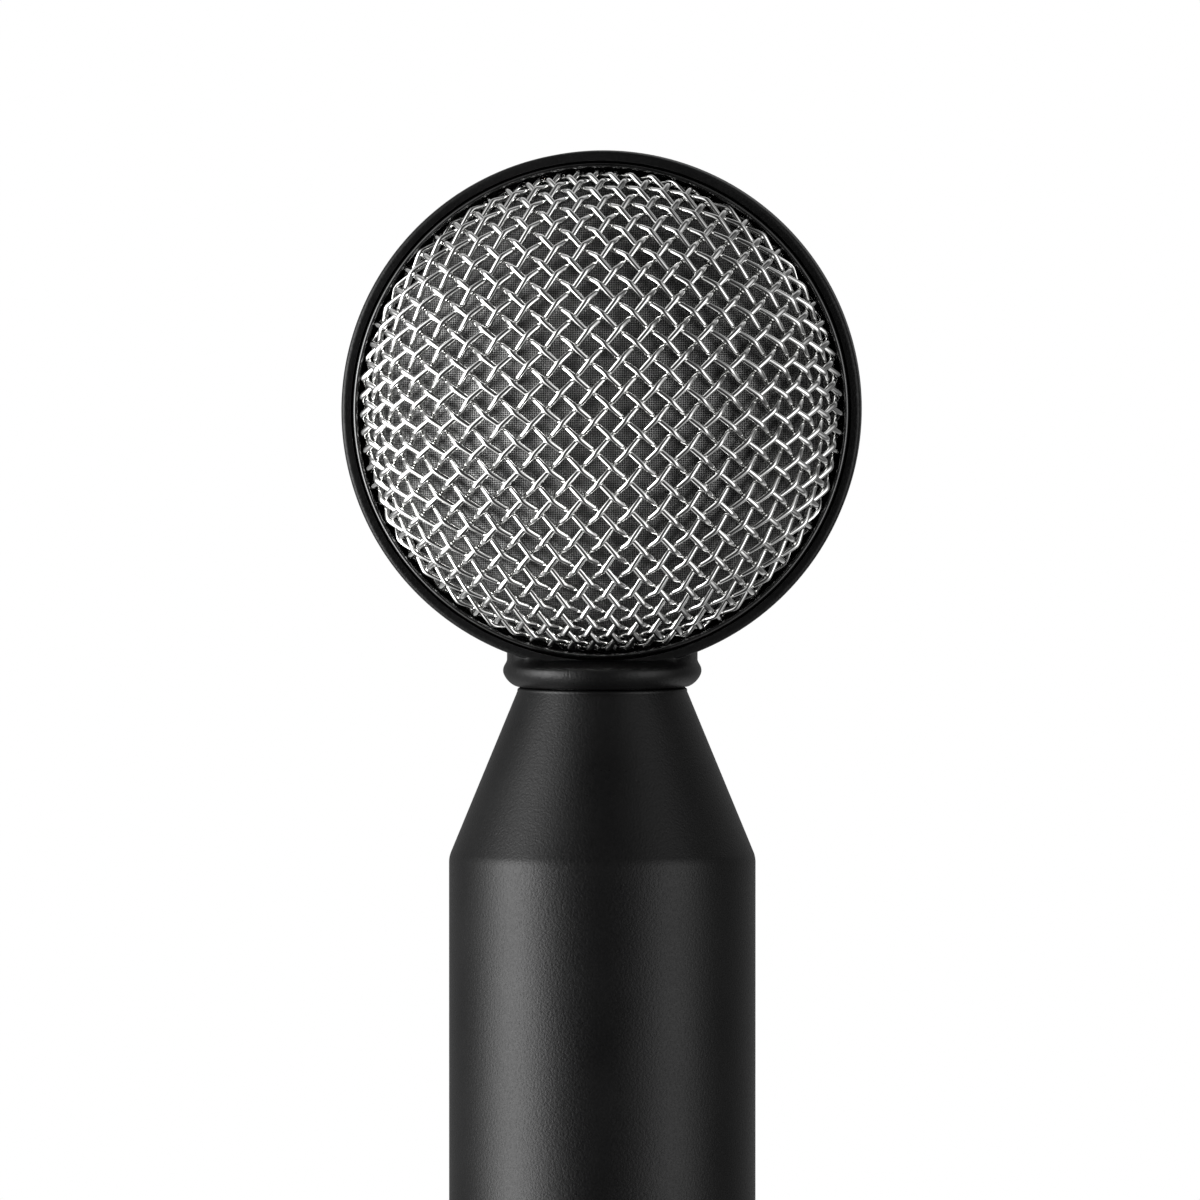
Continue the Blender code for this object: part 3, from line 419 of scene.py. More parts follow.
class Recipe(Nodes):
    """A Principled material whose inputs are fed by short calls."""

    def __init__(self, name, metallic=0.0):
        self.material = bpy.data.materials.new(name)
        self.material.use_nodes = True
        super().__init__(self.material.node_tree)
        self.shader = self.tree.nodes["Principled BSDF"]
        self.shader.inputs["Metallic"].default_value = metallic
        self.place = self.tree.nodes.new("ShaderNodeTexCoord").outputs["Object"]

    def scaled(self, stretch):
        """The place on the object, with each axis scaled."""
        inputs = {"Vector": self.place, "Scale": stretch}
        return self.node("ShaderNodeMapping", inputs).outputs[0]

    def noise(self, size, detail=3.0, roughness=0.5, stretch=(1, 1, 1)):
        """Noise whose lumps are about size millimetres across."""
        inputs = {
            "Vector": self.scaled(stretch),
            "Scale": 1 / (size * MM),
            "Detail": detail,
            "Roughness": roughness,
        }
        return self.node("ShaderNodeTexNoise", inputs).outputs["Fac"]

    def blend(self, factor, first, second):
        """Mixes two colours, each a value or another node's output."""
        inputs = {0: factor}
        for socket, colour in ((6, first), (7, second)):
            inputs[socket] = colour if isinstance(colour, bpy.types.NodeSocket) else (*colour, 1.0)
        return self.node("ShaderNodeMix", inputs, data_type="RGBA").outputs[2]

    def tones(self, noise, dark, light):
        """A colour that wanders between two with a noise."""
        return self.blend(self.remap(noise, NOISE_SPAN, (0, 1)), dark, light)

    def edges(self, width):
        """The soft normal of a bevel some millimetres wide, and a mask that is 1 at sharp edges."""
        soft = self.node("ShaderNodeBevel", {"Radius": width * MM}, samples=6).outputs["Normal"]
        true = self.node("ShaderNodeNewGeometry", {}).outputs["Normal"]
        inputs = {0: soft, 1: true}
        likeness = self.node("ShaderNodeVectorMath", inputs, operation="DOT_PRODUCT").outputs["Value"]
        flat, sharp = 0.995, 0.8
        return soft, self.remap(likeness, (flat, sharp), (0.0, 1.0))

    def bump(self, height, depth, normal=None):
        """Raises the surface by depth millimetres where height is 1."""
        inputs = {"Height": height, "Distance": depth * MM, "Strength": 1.0}
        if normal is not None:
            inputs["Normal"] = normal
        return self.node("ShaderNodeBump", inputs).outputs["Normal"]

    def finish(self, colour=None, roughness=None, normal=None):
        """Feeds the shader with what is given, and returns the material."""
        for socket, value in (("Base Color", colour), ("Roughness", roughness), ("Normal", normal)):
            if value is not None:
                self.tree.links.new(value, self.shader.inputs[socket])
        return self.material


def grey(value):
    return (value, value, value)


def satin_paint(name, dark, light, roughness, depth, worn, specular):
    """Paint with a fine grain, clouds of tone, and edges a little lighter, partly as wear and partly as a
    painted highlight.
    """
    recipe = Recipe(name)
    clouds = recipe.noise(6.0, detail=4)
    specks = recipe.noise(0.17, detail=3, roughness=0.6)
    soft, near_edge = recipe.edges(0.09)
    patchy = recipe.remap(recipe.noise(1.1), (0.4, 0.65), (0.05, 0.35))
    # Lighter edges: partly rubbed wear, partly a painted highlight standing in for the glint along rounded
    # edges
    edge_wear_and_painted_highlight = recipe.math("MULTIPLY", near_edge, patchy)
    colour = recipe.tones(clouds, dark, light)
    colour = recipe.blend(edge_wear_and_painted_highlight, colour, worn)
    roughness = recipe.math(
        "ADD",
        recipe.remap(clouds, NOISE_SPAN, (roughness - 0.02, roughness + 0.02)),
        recipe.remap(specks, NOISE_SPAN, (-0.07, 0.07)),
    )
    recipe.shader.inputs["Specular IOR Level"].default_value = specular
    return recipe.finish(colour, roughness, recipe.bump(specks, depth, soft))


def metal(name, dark, light, roughness, worn, stretch=(1, 1, 1), depth=0.004):
    """Metal with drawn or ground marks, blotches of tone and brighter edges."""
    recipe = Recipe(name, metallic=1.0)
    blotches = recipe.noise(2.5, detail=4)
    marks = recipe.noise(0.25, detail=5, roughness=0.6, stretch=stretch)
    soft, near_edge = recipe.edges(0.07)
    colour = recipe.tones(blotches, dark, light)
    colour = recipe.blend(recipe.math("MULTIPLY", near_edge, 0.6), colour, worn)
    roughness = recipe.math(
        "ADD",
        recipe.remap(blotches, NOISE_SPAN, (roughness - 0.03, roughness + 0.03)),
        recipe.remap(marks, NOISE_SPAN, (-0.04, 0.05)),
    )
    return recipe.finish(colour, roughness, recipe.bump(marks, depth, soft))


def moulded(name, dark, light, roughness, grain=0.12, depth=0.006):
    """Moulded plastic or rubber, with a fine texture and paler edges."""
    recipe = Recipe(name)
    clouds = recipe.noise(3.0, detail=3)
    texture = recipe.noise(grain, detail=3, roughness=0.6)
    soft, near_edge = recipe.edges(0.1)
    colour = recipe.tones(clouds, dark, light)
    paler = tuple(2 * c + 0.01 for c in light)
    colour = recipe.blend(recipe.math("MULTIPLY", near_edge, 0.25), colour, paler)
    roughness = recipe.remap(texture, NOISE_SPAN, (roughness - 0.05, roughness + 0.06))
    return recipe.finish(colour, roughness, recipe.bump(texture, depth, soft))


def bright_wire():
    """Bright plated wire with faint drawing marks and small stains."""
    recipe = Recipe("bright_wire", metallic=1.0)
    marks = recipe.noise(0.2, detail=2, roughness=0.5)
    stains = recipe.noise(1.3, detail=4)
    stained = recipe.remap(stains, (0.52, 0.75), (0, 0.5))
    colour = recipe.blend(stained, (0.78, 0.78, 0.77), (0.5, 0.5, 0.49))
    roughness = recipe.math(
        "ADD",
        recipe.remap(marks, NOISE_SPAN, (0.035, 0.07)),
        recipe.remap(stains, (0.5, 0.8), (0, 0.08)),
    )
    return recipe.finish(colour, roughness, recipe.bump(marks, 0.00006))


def woven_gauze():
    """A fine plain weave of dull wires along X and Z, drawn from the wires' own spacing; shade and glints
    are painted on.
    """
    recipe = Recipe("woven_gauze", metallic=0.85)
    parts = recipe.node("ShaderNodeSeparateXYZ", {0: recipe.place})
    turns = math.pi / (GAUZE_PITCH * MM)
    waves = []
    for axis in ("X", "Z"):
        waves.append(recipe.math("COSINE", recipe.math("MULTIPLY", parts.outputs[axis], turns)))
    crossing = recipe.math("MULTIPLY", waves[0], waves[1])
    families = []
    for wave, over_or_under in zip(waves, ((0.6, 1), (1, 0.6))):
        wires = recipe.math("ABSOLUTE", wave)
        families.append(recipe.math("MULTIPLY", wires, recipe.remap(crossing, (-1, 1), over_or_under)))
    height = recipe.math("MAXIMUM", *families)
    # Painted light: the weave's low places (its gaps, and where a wire dips under) are painted near black as
    # shade, and its high places lighter as glints, brightest where a wire crosses over
    wires = recipe.remap(height, (0.5, 0.95), (0, 1))
    clouds = recipe.remap(recipe.noise(1.5, detail=3), (0.35, 0.65), (0, 1))
    wire_tone = recipe.blend(clouds, grey(0.15), (0.42, 0.42, 0.415))
    colour = recipe.blend(wires, grey(0.03), wire_tone)
    roughness = recipe.remap(height, (0.5, 1.0), (0.75, 0.42))
    return recipe.finish(colour, roughness, recipe.bump(height, 0.05))


def layered(name, dark, light, roughness, pitch, axis):
    """Thin metal layers stacked along an axis: laminations of a core, or turns of a winding."""
    recipe = Recipe(name, metallic=1.0)
    part = recipe.node("ShaderNodeSeparateXYZ", {0: recipe.place}).outputs[axis]
    wave = recipe.math("SINE", recipe.math("MULTIPLY", part, 2 * math.pi / (pitch * MM)))
    height = recipe.math("SQRT", recipe.remap(wave, (-1, 1), (0, 1)))
    clouds = recipe.noise(0.9, detail=4)
    colour = recipe.tones(clouds, dark, light)
    in_gaps = recipe.remap(height, (0.0, 0.35), (0.8, 0))
    colour = recipe.blend(in_gaps, colour, tuple(0.3 * c for c in dark))
    roughness = recipe.remap(clouds, NOISE_SPAN, (roughness - 0.05, roughness + 0.07))
    return recipe.finish(colour, roughness, recipe.bump(height, pitch * 0.25))


def open_foam():
    """Dark foam with open cells."""
    recipe = Recipe("open_foam")
    inputs = {"Vector": recipe.place, "Scale": 1 / (0.5 * MM)}
    cells = recipe.node("ShaderNodeTexVoronoi", inputs, feature="DISTANCE_TO_EDGE").outputs["Distance"]
    walls = recipe.remap(cells, (0.02, 0.25), (1, 0))
    colour = recipe.blend(walls, grey(0.012), (0.07, 0.07, 0.068))
    roughness = recipe.remap(walls, (0, 1), (1.0, 0.85))
    return recipe.finish(colour, roughness, recipe.bump(walls, 0.12))


def phenolic():
    """Brown laminate: resin and cotton in fine, broken fibres."""
    recipe = Recipe("phenolic")
    fibres = recipe.noise(0.2, detail=5, roughness=0.7, stretch=(0.3, 1, 2.5))
    clouds = recipe.noise(1.4, detail=3)
    soft, near_edge = recipe.edges(0.08)
    colour = recipe.tones(fibres, (0.13, 0.05, 0.018), (0.32, 0.15, 0.06))
    colour = recipe.blend(recipe.math("MULTIPLY", near_edge, 0.4), colour, (0.42, 0.24, 0.11))
    roughness = recipe.remap(clouds, NOISE_SPAN, (0.38, 0.55))
    return recipe.finish(colour, roughness, recipe.bump(fibres, 0.008, soft))


def foil():
    """Thin bright foil with fine creases across it."""
    recipe = Recipe("foil", metallic=1.0)
    creases = recipe.noise(0.3, detail=5, roughness=0.65, stretch=(0.25, 1, 1.6))
    colour = recipe.tones(creases, (0.8, 0.81, 0.82), (0.93, 0.93, 0.94))
    roughness = recipe.remap(creases, NOISE_SPAN, (0.14, 0.28))
    return recipe.finish(colour, roughness, recipe.bump(creases, 0.006))


def insulation(name, colour):
    """The extruded plastic on a lead."""
    dark = tuple(0.8 * c for c in colour)
    return moulded(name, dark, colour, 0.4, grain=0.2, depth=0.003)


# How metals' marks are squeezed along each axis: rings around Z, or lines along it
ROUND_MARKS = (1, 1, 6)
LONG_MARKS = (6, 6, 0.6)

# Metals: darkest and lightest colour, roughness, colour of worn edges, then marks that differ
METALS = {
    "black_plate": (grey(0.08), grey(0.11), 0.22, grey(0.4), {"depth": 0.001}),
    "iron": ((0.36, 0.36, 0.37), (0.48, 0.48, 0.49), 0.34, grey(0.7), {"stretch": LONG_MARKS}),
    "magnet": ((0.24, 0.23, 0.22), (0.35, 0.34, 0.33), 0.42, grey(0.5), {"depth": 0.01}),
    "brass": ((0.62, 0.42, 0.16), (0.8, 0.6, 0.28), 0.28, (0.9, 0.74, 0.42), {"stretch": ROUND_MARKS}),
    "steel": ((0.46, 0.46, 0.47), (0.6, 0.6, 0.61), 0.28, grey(0.78), {"stretch": ROUND_MARKS}),
    "nickel": ((0.55, 0.53, 0.49), (0.68, 0.66, 0.61), 0.24, (0.8, 0.78, 0.73), {"stretch": ROUND_MARKS}),
    "shield": ((0.42, 0.42, 0.41), (0.58, 0.58, 0.57), 0.27, (0.75, 0.75, 0.74), {"stretch": ROUND_MARKS}),
    "gold": ((0.78, 0.56, 0.22), (0.92, 0.72, 0.36), 0.2, (0.98, 0.84, 0.55), {"stretch": LONG_MARKS}),
}

# Plastics and rubber: darkest and lightest colour, roughness
MOULDINGS = {
    "rubber": (grey(0.014), grey(0.028), 0.75),
    "bobbin": ((0.42, 0.4, 0.34), (0.56, 0.54, 0.48), 0.45),
    "insert": ((0.011, 0.011, 0.012), (0.02, 0.02, 0.021), 0.45),
}

LEADS = {
    "red_lead": (0.45, 0.03, 0.02),
    "white_lead": (0.7, 0.7, 0.66),
    "black_lead": (0.02, 0.02, 0.02),
}


def make_finishes():
    """Every slot's finish, by the slot's name."""
    made = {
        "black_paint": satin_paint(
            "black_paint_finish",
            (0.0022, 0.0022, 0.0023),
            (0.0038, 0.0038, 0.0039),
            roughness=0.35,
            depth=0.032,
            # Edge colour: partly worn paint, partly a painted highlight along the edges
            worn=grey(0.16),
            specular=0.24,
        ),
        "wire": bright_wire(),
        "gauze": woven_gauze(),
        "foil": foil(),
        "insulator": phenolic(),
        "foam": open_foam(),
        "laminations": layered(
            "laminations_finish", (0.2, 0.21, 0.23), (0.36, 0.37, 0.4), 0.38, pitch=0.35, axis="Y"
        ),
        "copper": layered(
            "copper_finish", (0.42, 0.15, 0.06), (0.72, 0.34, 0.16), 0.3, pitch=0.12, axis="Z"
        ),
    }
    for slot, (dark, light, roughness, worn, marks) in METALS.items():
        made[slot] = metal(f"{slot}_finish", dark, light, roughness, worn, **marks)
    for slot, settings in MOULDINGS.items():
        made[slot] = moulded(f"{slot}_finish", *settings)
    for slot, colour in LEADS.items():
        made[slot] = insulation(f"{slot}_finish", colour)
    return made


def dress_cad_nodes():
    """Gives each CAD node the finish of its slot, for those that stay in view."""
    for part in frame["record"]["subparts"]:
        obj = frame["nodes"][part["node"]]
        finish = finishes[part["material_slot"]]
        if not obj.material_slots:
            obj.data.materials.append(finish)
        for material_slot in obj.material_slots:
            material_slot.material = finish


# Shaft


def make_shaft():
    slope = math.atan((SHAFT_RADIUS - CONE_TOP_RADIUS) / (CONE_TOP_Z - SHOULDER_Z))
    round_z = SHOULDER_Z - SHOULDER_ROUND * math.tan(slope / 2)
    lip = CONE_TOP_ROUND
    outer = arc((CONE_TOP_RADIUS - lip, CONE_TOP_Z - lip), lip, 90, CONE_TOP_ROUND_END, steps=7)
    centre = (SHAFT_RADIUS - SHOULDER_ROUND, round_z)
    outer += arc(centre, SHOULDER_ROUND, math.degrees(slope), 0, steps=10)
    outer += arc((SHAFT_RADIUS - FOOT_ROUND, FOOT_ROUND), FOOT_ROUND, 0, -90, steps=5)
    inner = [
        (CONNECTOR_BORE, 0),
        (CONNECTOR_BORE, CONNECTOR_BORE_TOP_Z),
        (SHAFT_BORE, CONNECTOR_BORE_TOP_Z),
        (SHAFT_BORE, SHAFT_BORE_TOP_Z),
        (NECK_SHELF_RADIUS, NECK_SHELF_Z),
        (SPIGOT_CLEARANCE, NECK_SHELF_Z),
        (SPIGOT_CLEARANCE, CONE_TOP_Z),
    ]
    mesh = turned("shaft", outer + inner, FINE)
    hole = turned(
        "hole",
        cylinder(SCREW_HOLE_RADIUS, CONNECTOR_BORE - OVERSHOOT, SHAFT_RADIUS + OVERSHOOT),
        COARSE,
        along((0, 1, 0), (0, 0, SCREW_Z)),
    )
    mesh = combined(mesh, [("DIFFERENCE", hole)])
    add_piece("shaft", mesh, "black_paint", ["shaft_housing"], even_normals=True)


# Head frame


def bead_profile():
    """The neck's side from its spigot up to the bead's widest place, as (radius, height)."""
    points = [
        (SPIGOT_RADIUS, SPIGOT_FOOT_Z),
        (SPIGOT_RADIUS, NECK_FOOT_Z),
        (NECK_FOOT_RADIUS, NECK_FOOT_Z),
    ]
    width, drop = BEAD_RADIUS - BEAD_FOOT_RADIUS, BEAD_Z - BEAD_FOOT_Z
    steps = 14
    for i in range(steps + 1):
        share = math.cos(0.5 * math.pi * i / steps)
        bulge = (1 - share**BEAD_BLUNTNESS) ** (1 / BEAD_BLUNTNESS)
        points.append((BEAD_FOOT_RADIUS + width * bulge, BEAD_Z - drop * share))
    return points


def neck_side_radius(z):
    """The neck's radius above the bead's widest place, down to that of the straight wall."""
    share = min(1.0, (z - BEAD_Z) / (NECK_WALL_Z - BEAD_Z)) ** BEAD_FULLNESS
    return NECK_RADIUS + (BEAD_RADIUS - NECK_RADIUS) * 0.5 * (1 + math.cos(math.pi * share))


def ring_underside(x):
    """Height of the ring's outer surface under its middle, at a distance from the shaft's axis."""
    return HEAD_Z - math.sqrt(HEAD_RADIUS**2 - x**2)


def shoulder_column(angle, steps):
    """One upright line of the shoulder, from the bead to inside the ring.

    Beside the ring it goes straight up the neck's wall. In front and behind it flows back over a
    crown and up the ring's face, and in between it is a blend of the two.
    """
    start = Vector(
        (
            neck_side_radius(SHOULDER_START_Z) * math.cos(angle),
            neck_side_radius(SHOULDER_START_Z) * math.sin(angle),
            SHOULDER_START_Z,
        )
    )
    wall_x = NECK_RADIUS * math.cos(angle)
    wall_top = ring_underside(wall_x) + WALL_LAP
    depth = RING_HALF_DEPTH - FACE_INSET
    face_x = SHOULDER_NARROWING * wall_x
    face = Vector(
        (
            face_x,
            math.copysign(min(abs(start.y), depth), start.y),
            max(CROWN_Z, ring_underside(face_x) + FACE_LAP),
        )
    )
    share = min(1.0, max(0.0, (abs(start.y) - FLOW_START) / (FLOW_END - FLOW_START)))
    flow = share * share * (3 - 2 * share)
    rise = Vector((-SHOULDER_LEAN * math.cos(angle), -SHOULDER_LEAN * math.sin(angle), SHOULDER_RISE))
    column = []
    for i in range(steps + 1):
        t = i / steps
        z = SHOULDER_START_Z + (wall_top - SHOULDER_START_Z) * t
        radius = neck_side_radius(z)
        side = Vector((radius * math.cos(angle), radius * math.sin(angle), z))
        front = (
            (1 - t) ** 3 * start
            + 3 * (1 - t) ** 2 * t * (start + rise)
            + 3 * (1 - t) * t**2 * (face - Vector((0, 0, CROWN_PULL)))
            + t**3 * face
        )
        column.append(side.lerp(front, flow))
    return column


def neck_mesh():
    """The neck as rows around the shaft's axis: the turned bead, the shoulder and a hidden cap."""
    bm = bmesh.new()
    side = bead_profile()
    steps_up = 4
    for i in range(1, steps_up):
        z = BEAD_Z + (SHOULDER_START_Z - BEAD_Z) * i / steps_up
        side.append((neck_side_radius(z), z))
    shoulder_steps = 16
    rows = [[] for _ in range(len(side) + shoulder_steps + 2)]
    for k in range(FINE):
        angle = 2 * math.pi * k / FINE
        for row, (radius, z) in zip(rows, side):
            row.append(bm.verts.new((radius * math.cos(angle), radius * math.sin(angle), z)))
        column = shoulder_column(angle, shoulder_steps)
        end = column[-1]
        column.append(Vector((CAP_NARROWING * end.x, CAP_NARROWING * end.y, end.z + CAP_RISE)))
        for row, point in zip(rows[len(side) :], column):
            row.append(bm.verts.new(point))
    for lower, upper in zip(rows, rows[1:]):
        for k in range(FINE):
            j = (k + 1) % FINE
            bm.faces.new((lower[k], lower[j], upper[j], upper[k]))
    foot = bm.verts.new((0, 0, SPIGOT_FOOT_Z))
    top = bm.verts.new((0, 0, CAP_TOP_Z))
    for k in range(FINE):
        j = (k + 1) % FINE
        bm.faces.new((foot, rows[0][j], rows[0][k]))
        bm.faces.new((top, rows[-1][k], rows[-1][j]))
    return finished_mesh("neck", bm)


def ledge_bore_outline():
    """A circle with a flat along its bottom, where the motor's bracket sits."""
    half_flat = math.degrees(math.acos(-LEDGE_FLAT_Z / LEDGE_BORE))
    points = arc((0, 0), LEDGE_BORE, -90 + half_flat, 270 - half_flat, FINE)
    return [(x, HEAD_Z + z) for x, z in points]


def make_head_frame():
    to_front = along((0, -1, 0), (0, 0, HEAD_Z))
    to_rear = along((0, 1, 0), (0, 0, HEAD_Z))
    edge = RING_EDGE_ROUND
    rim = HEAD_RADIUS - edge
    outline = [(0, RING_HALF_DEPTH)]
    outline += arc((rim, RING_HALF_DEPTH - edge), edge, 90, 0, steps=6)
    outline += arc((rim, edge - RING_HALF_DEPTH), edge, 0, -90, steps=6)
    outline += [(0, -RING_HALF_DEPTH)]
    recess = cylinder(RECESS_RADIUS, LEDGE_HALF_DEPTH, RECESS_REACH)
    reach = RING_HALF_DEPTH + OVERSHOOT
    ledge_z = HEAD_Z + LEDGE_FLAT_Z
    spigot_bore = cylinder(SPIGOT_BORE, SPIGOT_FOOT_Z - OVERSHOOT, SPIGOT_BORE_TOP_Z)
    lead_bore = cylinder(LEAD_BORE, SPIGOT_BORE_TOP_Z - OVERSHOOT / 2, ledge_z + OVERSHOOT)
    steps = [
        ("UNION", neck_mesh()),
        ("DIFFERENCE", turned("front_recess", recess, FINE, to_front)),
        ("DIFFERENCE", turned("rear_recess", recess, FINE, to_rear)),
        ("DIFFERENCE", extruded_along_y("ledge_bore", ledge_bore_outline(), -reach, reach)),
        ("DIFFERENCE", turned("spigot_bore", spigot_bore, COARSE)),
        ("DIFFERENCE", turned("lead_bore", lead_bore, COARSE)),
    ]
    mount_hole = cylinder(MOUNT_HOLE_RADIUS, ledge_z - MOUNT_HOLE_DEPTH, ledge_z + OVERSHOOT)
    for x in (-MOUNT_SCREW_X, MOUNT_SCREW_X):
        place = Matrix.Translation((x, 0, 0))
        steps.append(("DIFFERENCE", turned("mount_hole", mount_hole, COARSE, place)))
    mesh = combined(turned("ring", outline, FINE, to_front), steps)
    add_piece("ring_and_neck", mesh, "black_paint", ["head_frame"], even_normals=True)


# Grilles


def make_bezels_and_gauzes():
    middle = (BEZEL_INNER + BEZEL_OUTER) / 2
    half = (BEZEL_OUTER - BEZEL_INNER) / 2
    lip = arc((middle, BEZEL_FRONT - half), half, 0, 180, steps=12)
    bezel = [(BEZEL_OUTER, SKIRT_START)] + lip + [(BEZEL_INNER, SKIRT_START)]
    outer_angle = math.degrees(math.acos(GAUZE_SKIRT[0] / GAUZE_BALL[0]))
    inner_angle = math.degrees(math.acos(GAUZE_SKIRT[1] / GAUZE_BALL[1]))
    outer = arc((0, 0), GAUZE_BALL[0], outer_angle, 90, steps=40)
    inner = arc((0, 0), GAUZE_BALL[1], 90, inner_angle, steps=40)
    outer[-1] = (0, GAUZE_BALL[0])
    inner[0] = (0, GAUZE_BALL[1])
    gauze = [(GAUZE_SKIRT[0], SKIRT_START)] + outer + inner + [(GAUZE_SKIRT[1], SKIRT_START)]
    for side, y in (("front", -1), ("rear", 1)):
        matrix = along((0, y, 0), (0, 0, HEAD_Z))
        mesh = turned(f"{side}_bezel", bezel, FINE, matrix)
        add_piece(f"{side}_bezel", mesh, "black_plate", [f"{side}_grille_ring"], even_normals=True)
        mesh = turned(f"{side}_gauze_dome", gauze, MEDIUM, matrix)
        add_piece(f"{side}_gauze_dome", mesh, "gauze", [f"{side}_inner_gauze"])


def unit(vectors):
    return vectors / np.linalg.norm(vectors, axis=-1, keepdims=True)


def draped_net():
    """Directions from the ball's centre to the crossings of a square cloth draped over it.

    The cloth keeps its wires' spacing along both wires. Two great circles carry the first wires, and
    each further crossing is the mirror image of its inner neighbour in the plane of the other two.
    """
    count = WIRE_REACH
    step = 2 * math.asin(WIRE_PITCH / (2 * WIRE_BALL))
    x, z = WEAVE_START
    start = unit(np.array((x, -math.sqrt(WIRE_BALL**2 - x * x - z * z), z)))
    net = np.zeros((2 * count + 1, 2 * count + 1, 3))
    for axis, angle in enumerate(WEAVE_ANGLES):
        heading = np.array((math.cos(math.radians(angle)), 0, math.sin(math.radians(angle))))
        heading = unit(heading - start * heading.dot(start))
        for k in range(-count, count + 1):
            spot = (count + k, count) if axis == 0 else (count, count + k)
            net[spot] = start * math.cos(k * step) + heading * math.sin(k * step)
    for u in (1, -1):
        for v in (1, -1):
            for i in range(1, count + 1):
                for j in range(1, count + 1):
                    corner = net[count + u * (i - 1), count + v * (j - 1)]
                    ahead = net[count + u * i, count + v * (j - 1)]
                    beside = net[count + u * (i - 1), count + v * j]
                    normal = unit(np.cross(ahead, beside))
                    net[count + u * i, count + v * j] = corner - 2 * corner.dot(normal) * normal
    return net


def smooth_wire(nodes):
    """Catmull-Rom points through one wire's crossings, closer together at the bends.

    Returned with them is how many crossings each point has passed.
    """
    padded = np.vstack((2 * nodes[0] - nodes[1], nodes, 2 * nodes[-1] - nodes[-2]))
    before, here, there, after = padded[:-3], padded[1:-2], padded[2:-1], padded[3:]
    points, passed = [], []
    for k in range(WIRE_STEPS):
        turn = 2 * math.pi * k / WIRE_STEPS
        t = (turn - STEP_BUNCHING * math.sin(turn)) / (2 * math.pi)
        points.append(
            0.5
            * (
                2 * here
                + (there - before) * t
                + (2 * before - 5 * here + 4 * there - after) * t**2
                + (3 * here - 3 * there + after - before) * t**3
            )
        )
        passed.append(np.arange(len(here)) + t)
    points = np.stack(points, 1).reshape(-1, 3)
    passed = np.stack(passed, 1).reshape(-1)
    return unit(points), passed


def tube(path, normals):
    """Vertices and faces of a round wire along a path, whose flat side is set by the normals."""
    tangents = unit(np.gradient(path, axis=0))
    across = unit(np.cross(tangents, normals))
    up = np.cross(across, tangents)
    angles = np.arange(WIRE_SIDES) * 2 * math.pi / WIRE_SIDES
    ring = across[:, None] * np.cos(angles)[:, None] + up[:, None] * np.sin(angles)[:, None]
    verts = (path[:, None] + WIRE_RADIUS * ring).reshape(-1, 3)
    faces = []
    for i in range(len(path) - 1):
        for k in range(WIRE_SIDES):
            j = (k + 1) % WIRE_SIDES
            a, b = i * WIRE_SIDES, (i + 1) * WIRE_SIDES
            faces.append((a + k, a + j, b + j, b + k))
    faces.append(tuple(range(WIRE_SIDES)))
    faces.append(tuple(range(len(verts) - 1, len(verts) - 1 - WIRE_SIDES, -1)))
    return verts, faces


def wire_path(nodes, sign):
    """The middle of one crimped wire on the ball and its skirt, with the surface's normals."""
    directions, passed = smooth_wire(nodes)
    polar = np.arccos(np.clip(-directions[:, 1], -1, 1))
    rim = math.asin(WIRE_SKIRT / WIRE_WIDTH)
    rim_depth = WIRE_BALL * math.cos(rim)
    last = rim + (rim_depth - SKIRT_START - WIRE_RADIUS) / WIRE_BALL
    inside = polar < last
    if not inside.any():
        return None
    nearest = int(np.argmin(polar))
    first = nearest
    while first > 0 and inside[first - 1]:
        first -= 1
    final = nearest
    while final < len(polar) - 1 and inside[final + 1]:
        final += 1
    if final - first < 2 * WIRE_STEPS:
        return None
    keep = slice(first, final + 1)
    directions, passed, polar = directions[keep], passed[keep], polar[keep]
    off_pole = (1e-9, 0, 0)
    radial = unit(directions * (1, 0, 1) + off_pole)
    on_ball = polar[:, None] <= rim
    normals = np.where(on_ball, directions, radial)
    depth = np.where(polar <= rim, -directions[:, 1] * WIRE_BALL, rim_depth - WIRE_BALL * (polar - rim))
    skirt = radial * WIRE_SKIRT + np.stack((0 * depth, -depth, 0 * depth), 1)
    surface = np.where(on_ball, directions * (WIRE_WIDTH, WIRE_BALL, WIRE_WIDTH), skirt)
    wave = np.cos(math.pi * passed)
    crimp = sign * WIRE_CRIMP * np.arcsin(WIRE_BEND * wave) / math.asin(WIRE_BEND)
    return surface + crimp[:, None] * normals, normals


def wire_mesh(name, turn):
    """All wires of one dome, each a closed tube with closed ends."""
    net = draped_net()
    verts, faces, count = [], [], 0
    for family in (0, 1):
        for i in range(2 * WIRE_REACH + 1):
            nodes = net[i] if family == 0 else net[:, i]
            sign = (-1) ** (i + family)
            path = wire_path(nodes, sign)
            if path is None:
                continue
            wire_verts, wire_faces = tube(*path)
            verts.append(wire_verts)
            faces += [tuple(v + count for v in face) for face in wire_faces]
            count += len(wire_verts)
    points = np.vstack(verts) * (turn, turn, 1) + (0, 0, HEAD_Z)
    mesh = bpy.data.meshes.new(name)
    mesh.from_pydata((points * MM).tolist(), [], faces)
    mesh.validate()
    mesh.shade_smooth()
    mesh.set_sharp_from_angle(angle=WIRE_SHARP_ANGLE)
    return mesh


def make_wire_domes():
    for side, turn in (("front", 1), ("rear", -1)):
        name = f"{side}_woven_wire"
        add_piece(name, wire_mesh(name, turn), "wire", [f"{side}_wire_grille"])


# Ribbons


def corrugated_line(low, high):
    """A ribbon's middle line as (y, z) points: flat at both ends, with even waves in between."""
    middle_y = (low.y + high.y) / 2
    free_low, free_high = low.z + RIBBON_FLAT, high.z - RIBBON_FLAT
    per_wave = 10
    steps = RIBBON_WAVES * per_wave
    line = [(middle_y, low.z)]
    for i in range(steps + 1):
        z = free_low + (free_high - free_low) * i / steps
        line.append((middle_y + RIBBON_WAVE_HEIGHT * math.sin(2 * math.pi * i / per_wave), z))
    line.append((middle_y, high.z))
    return line


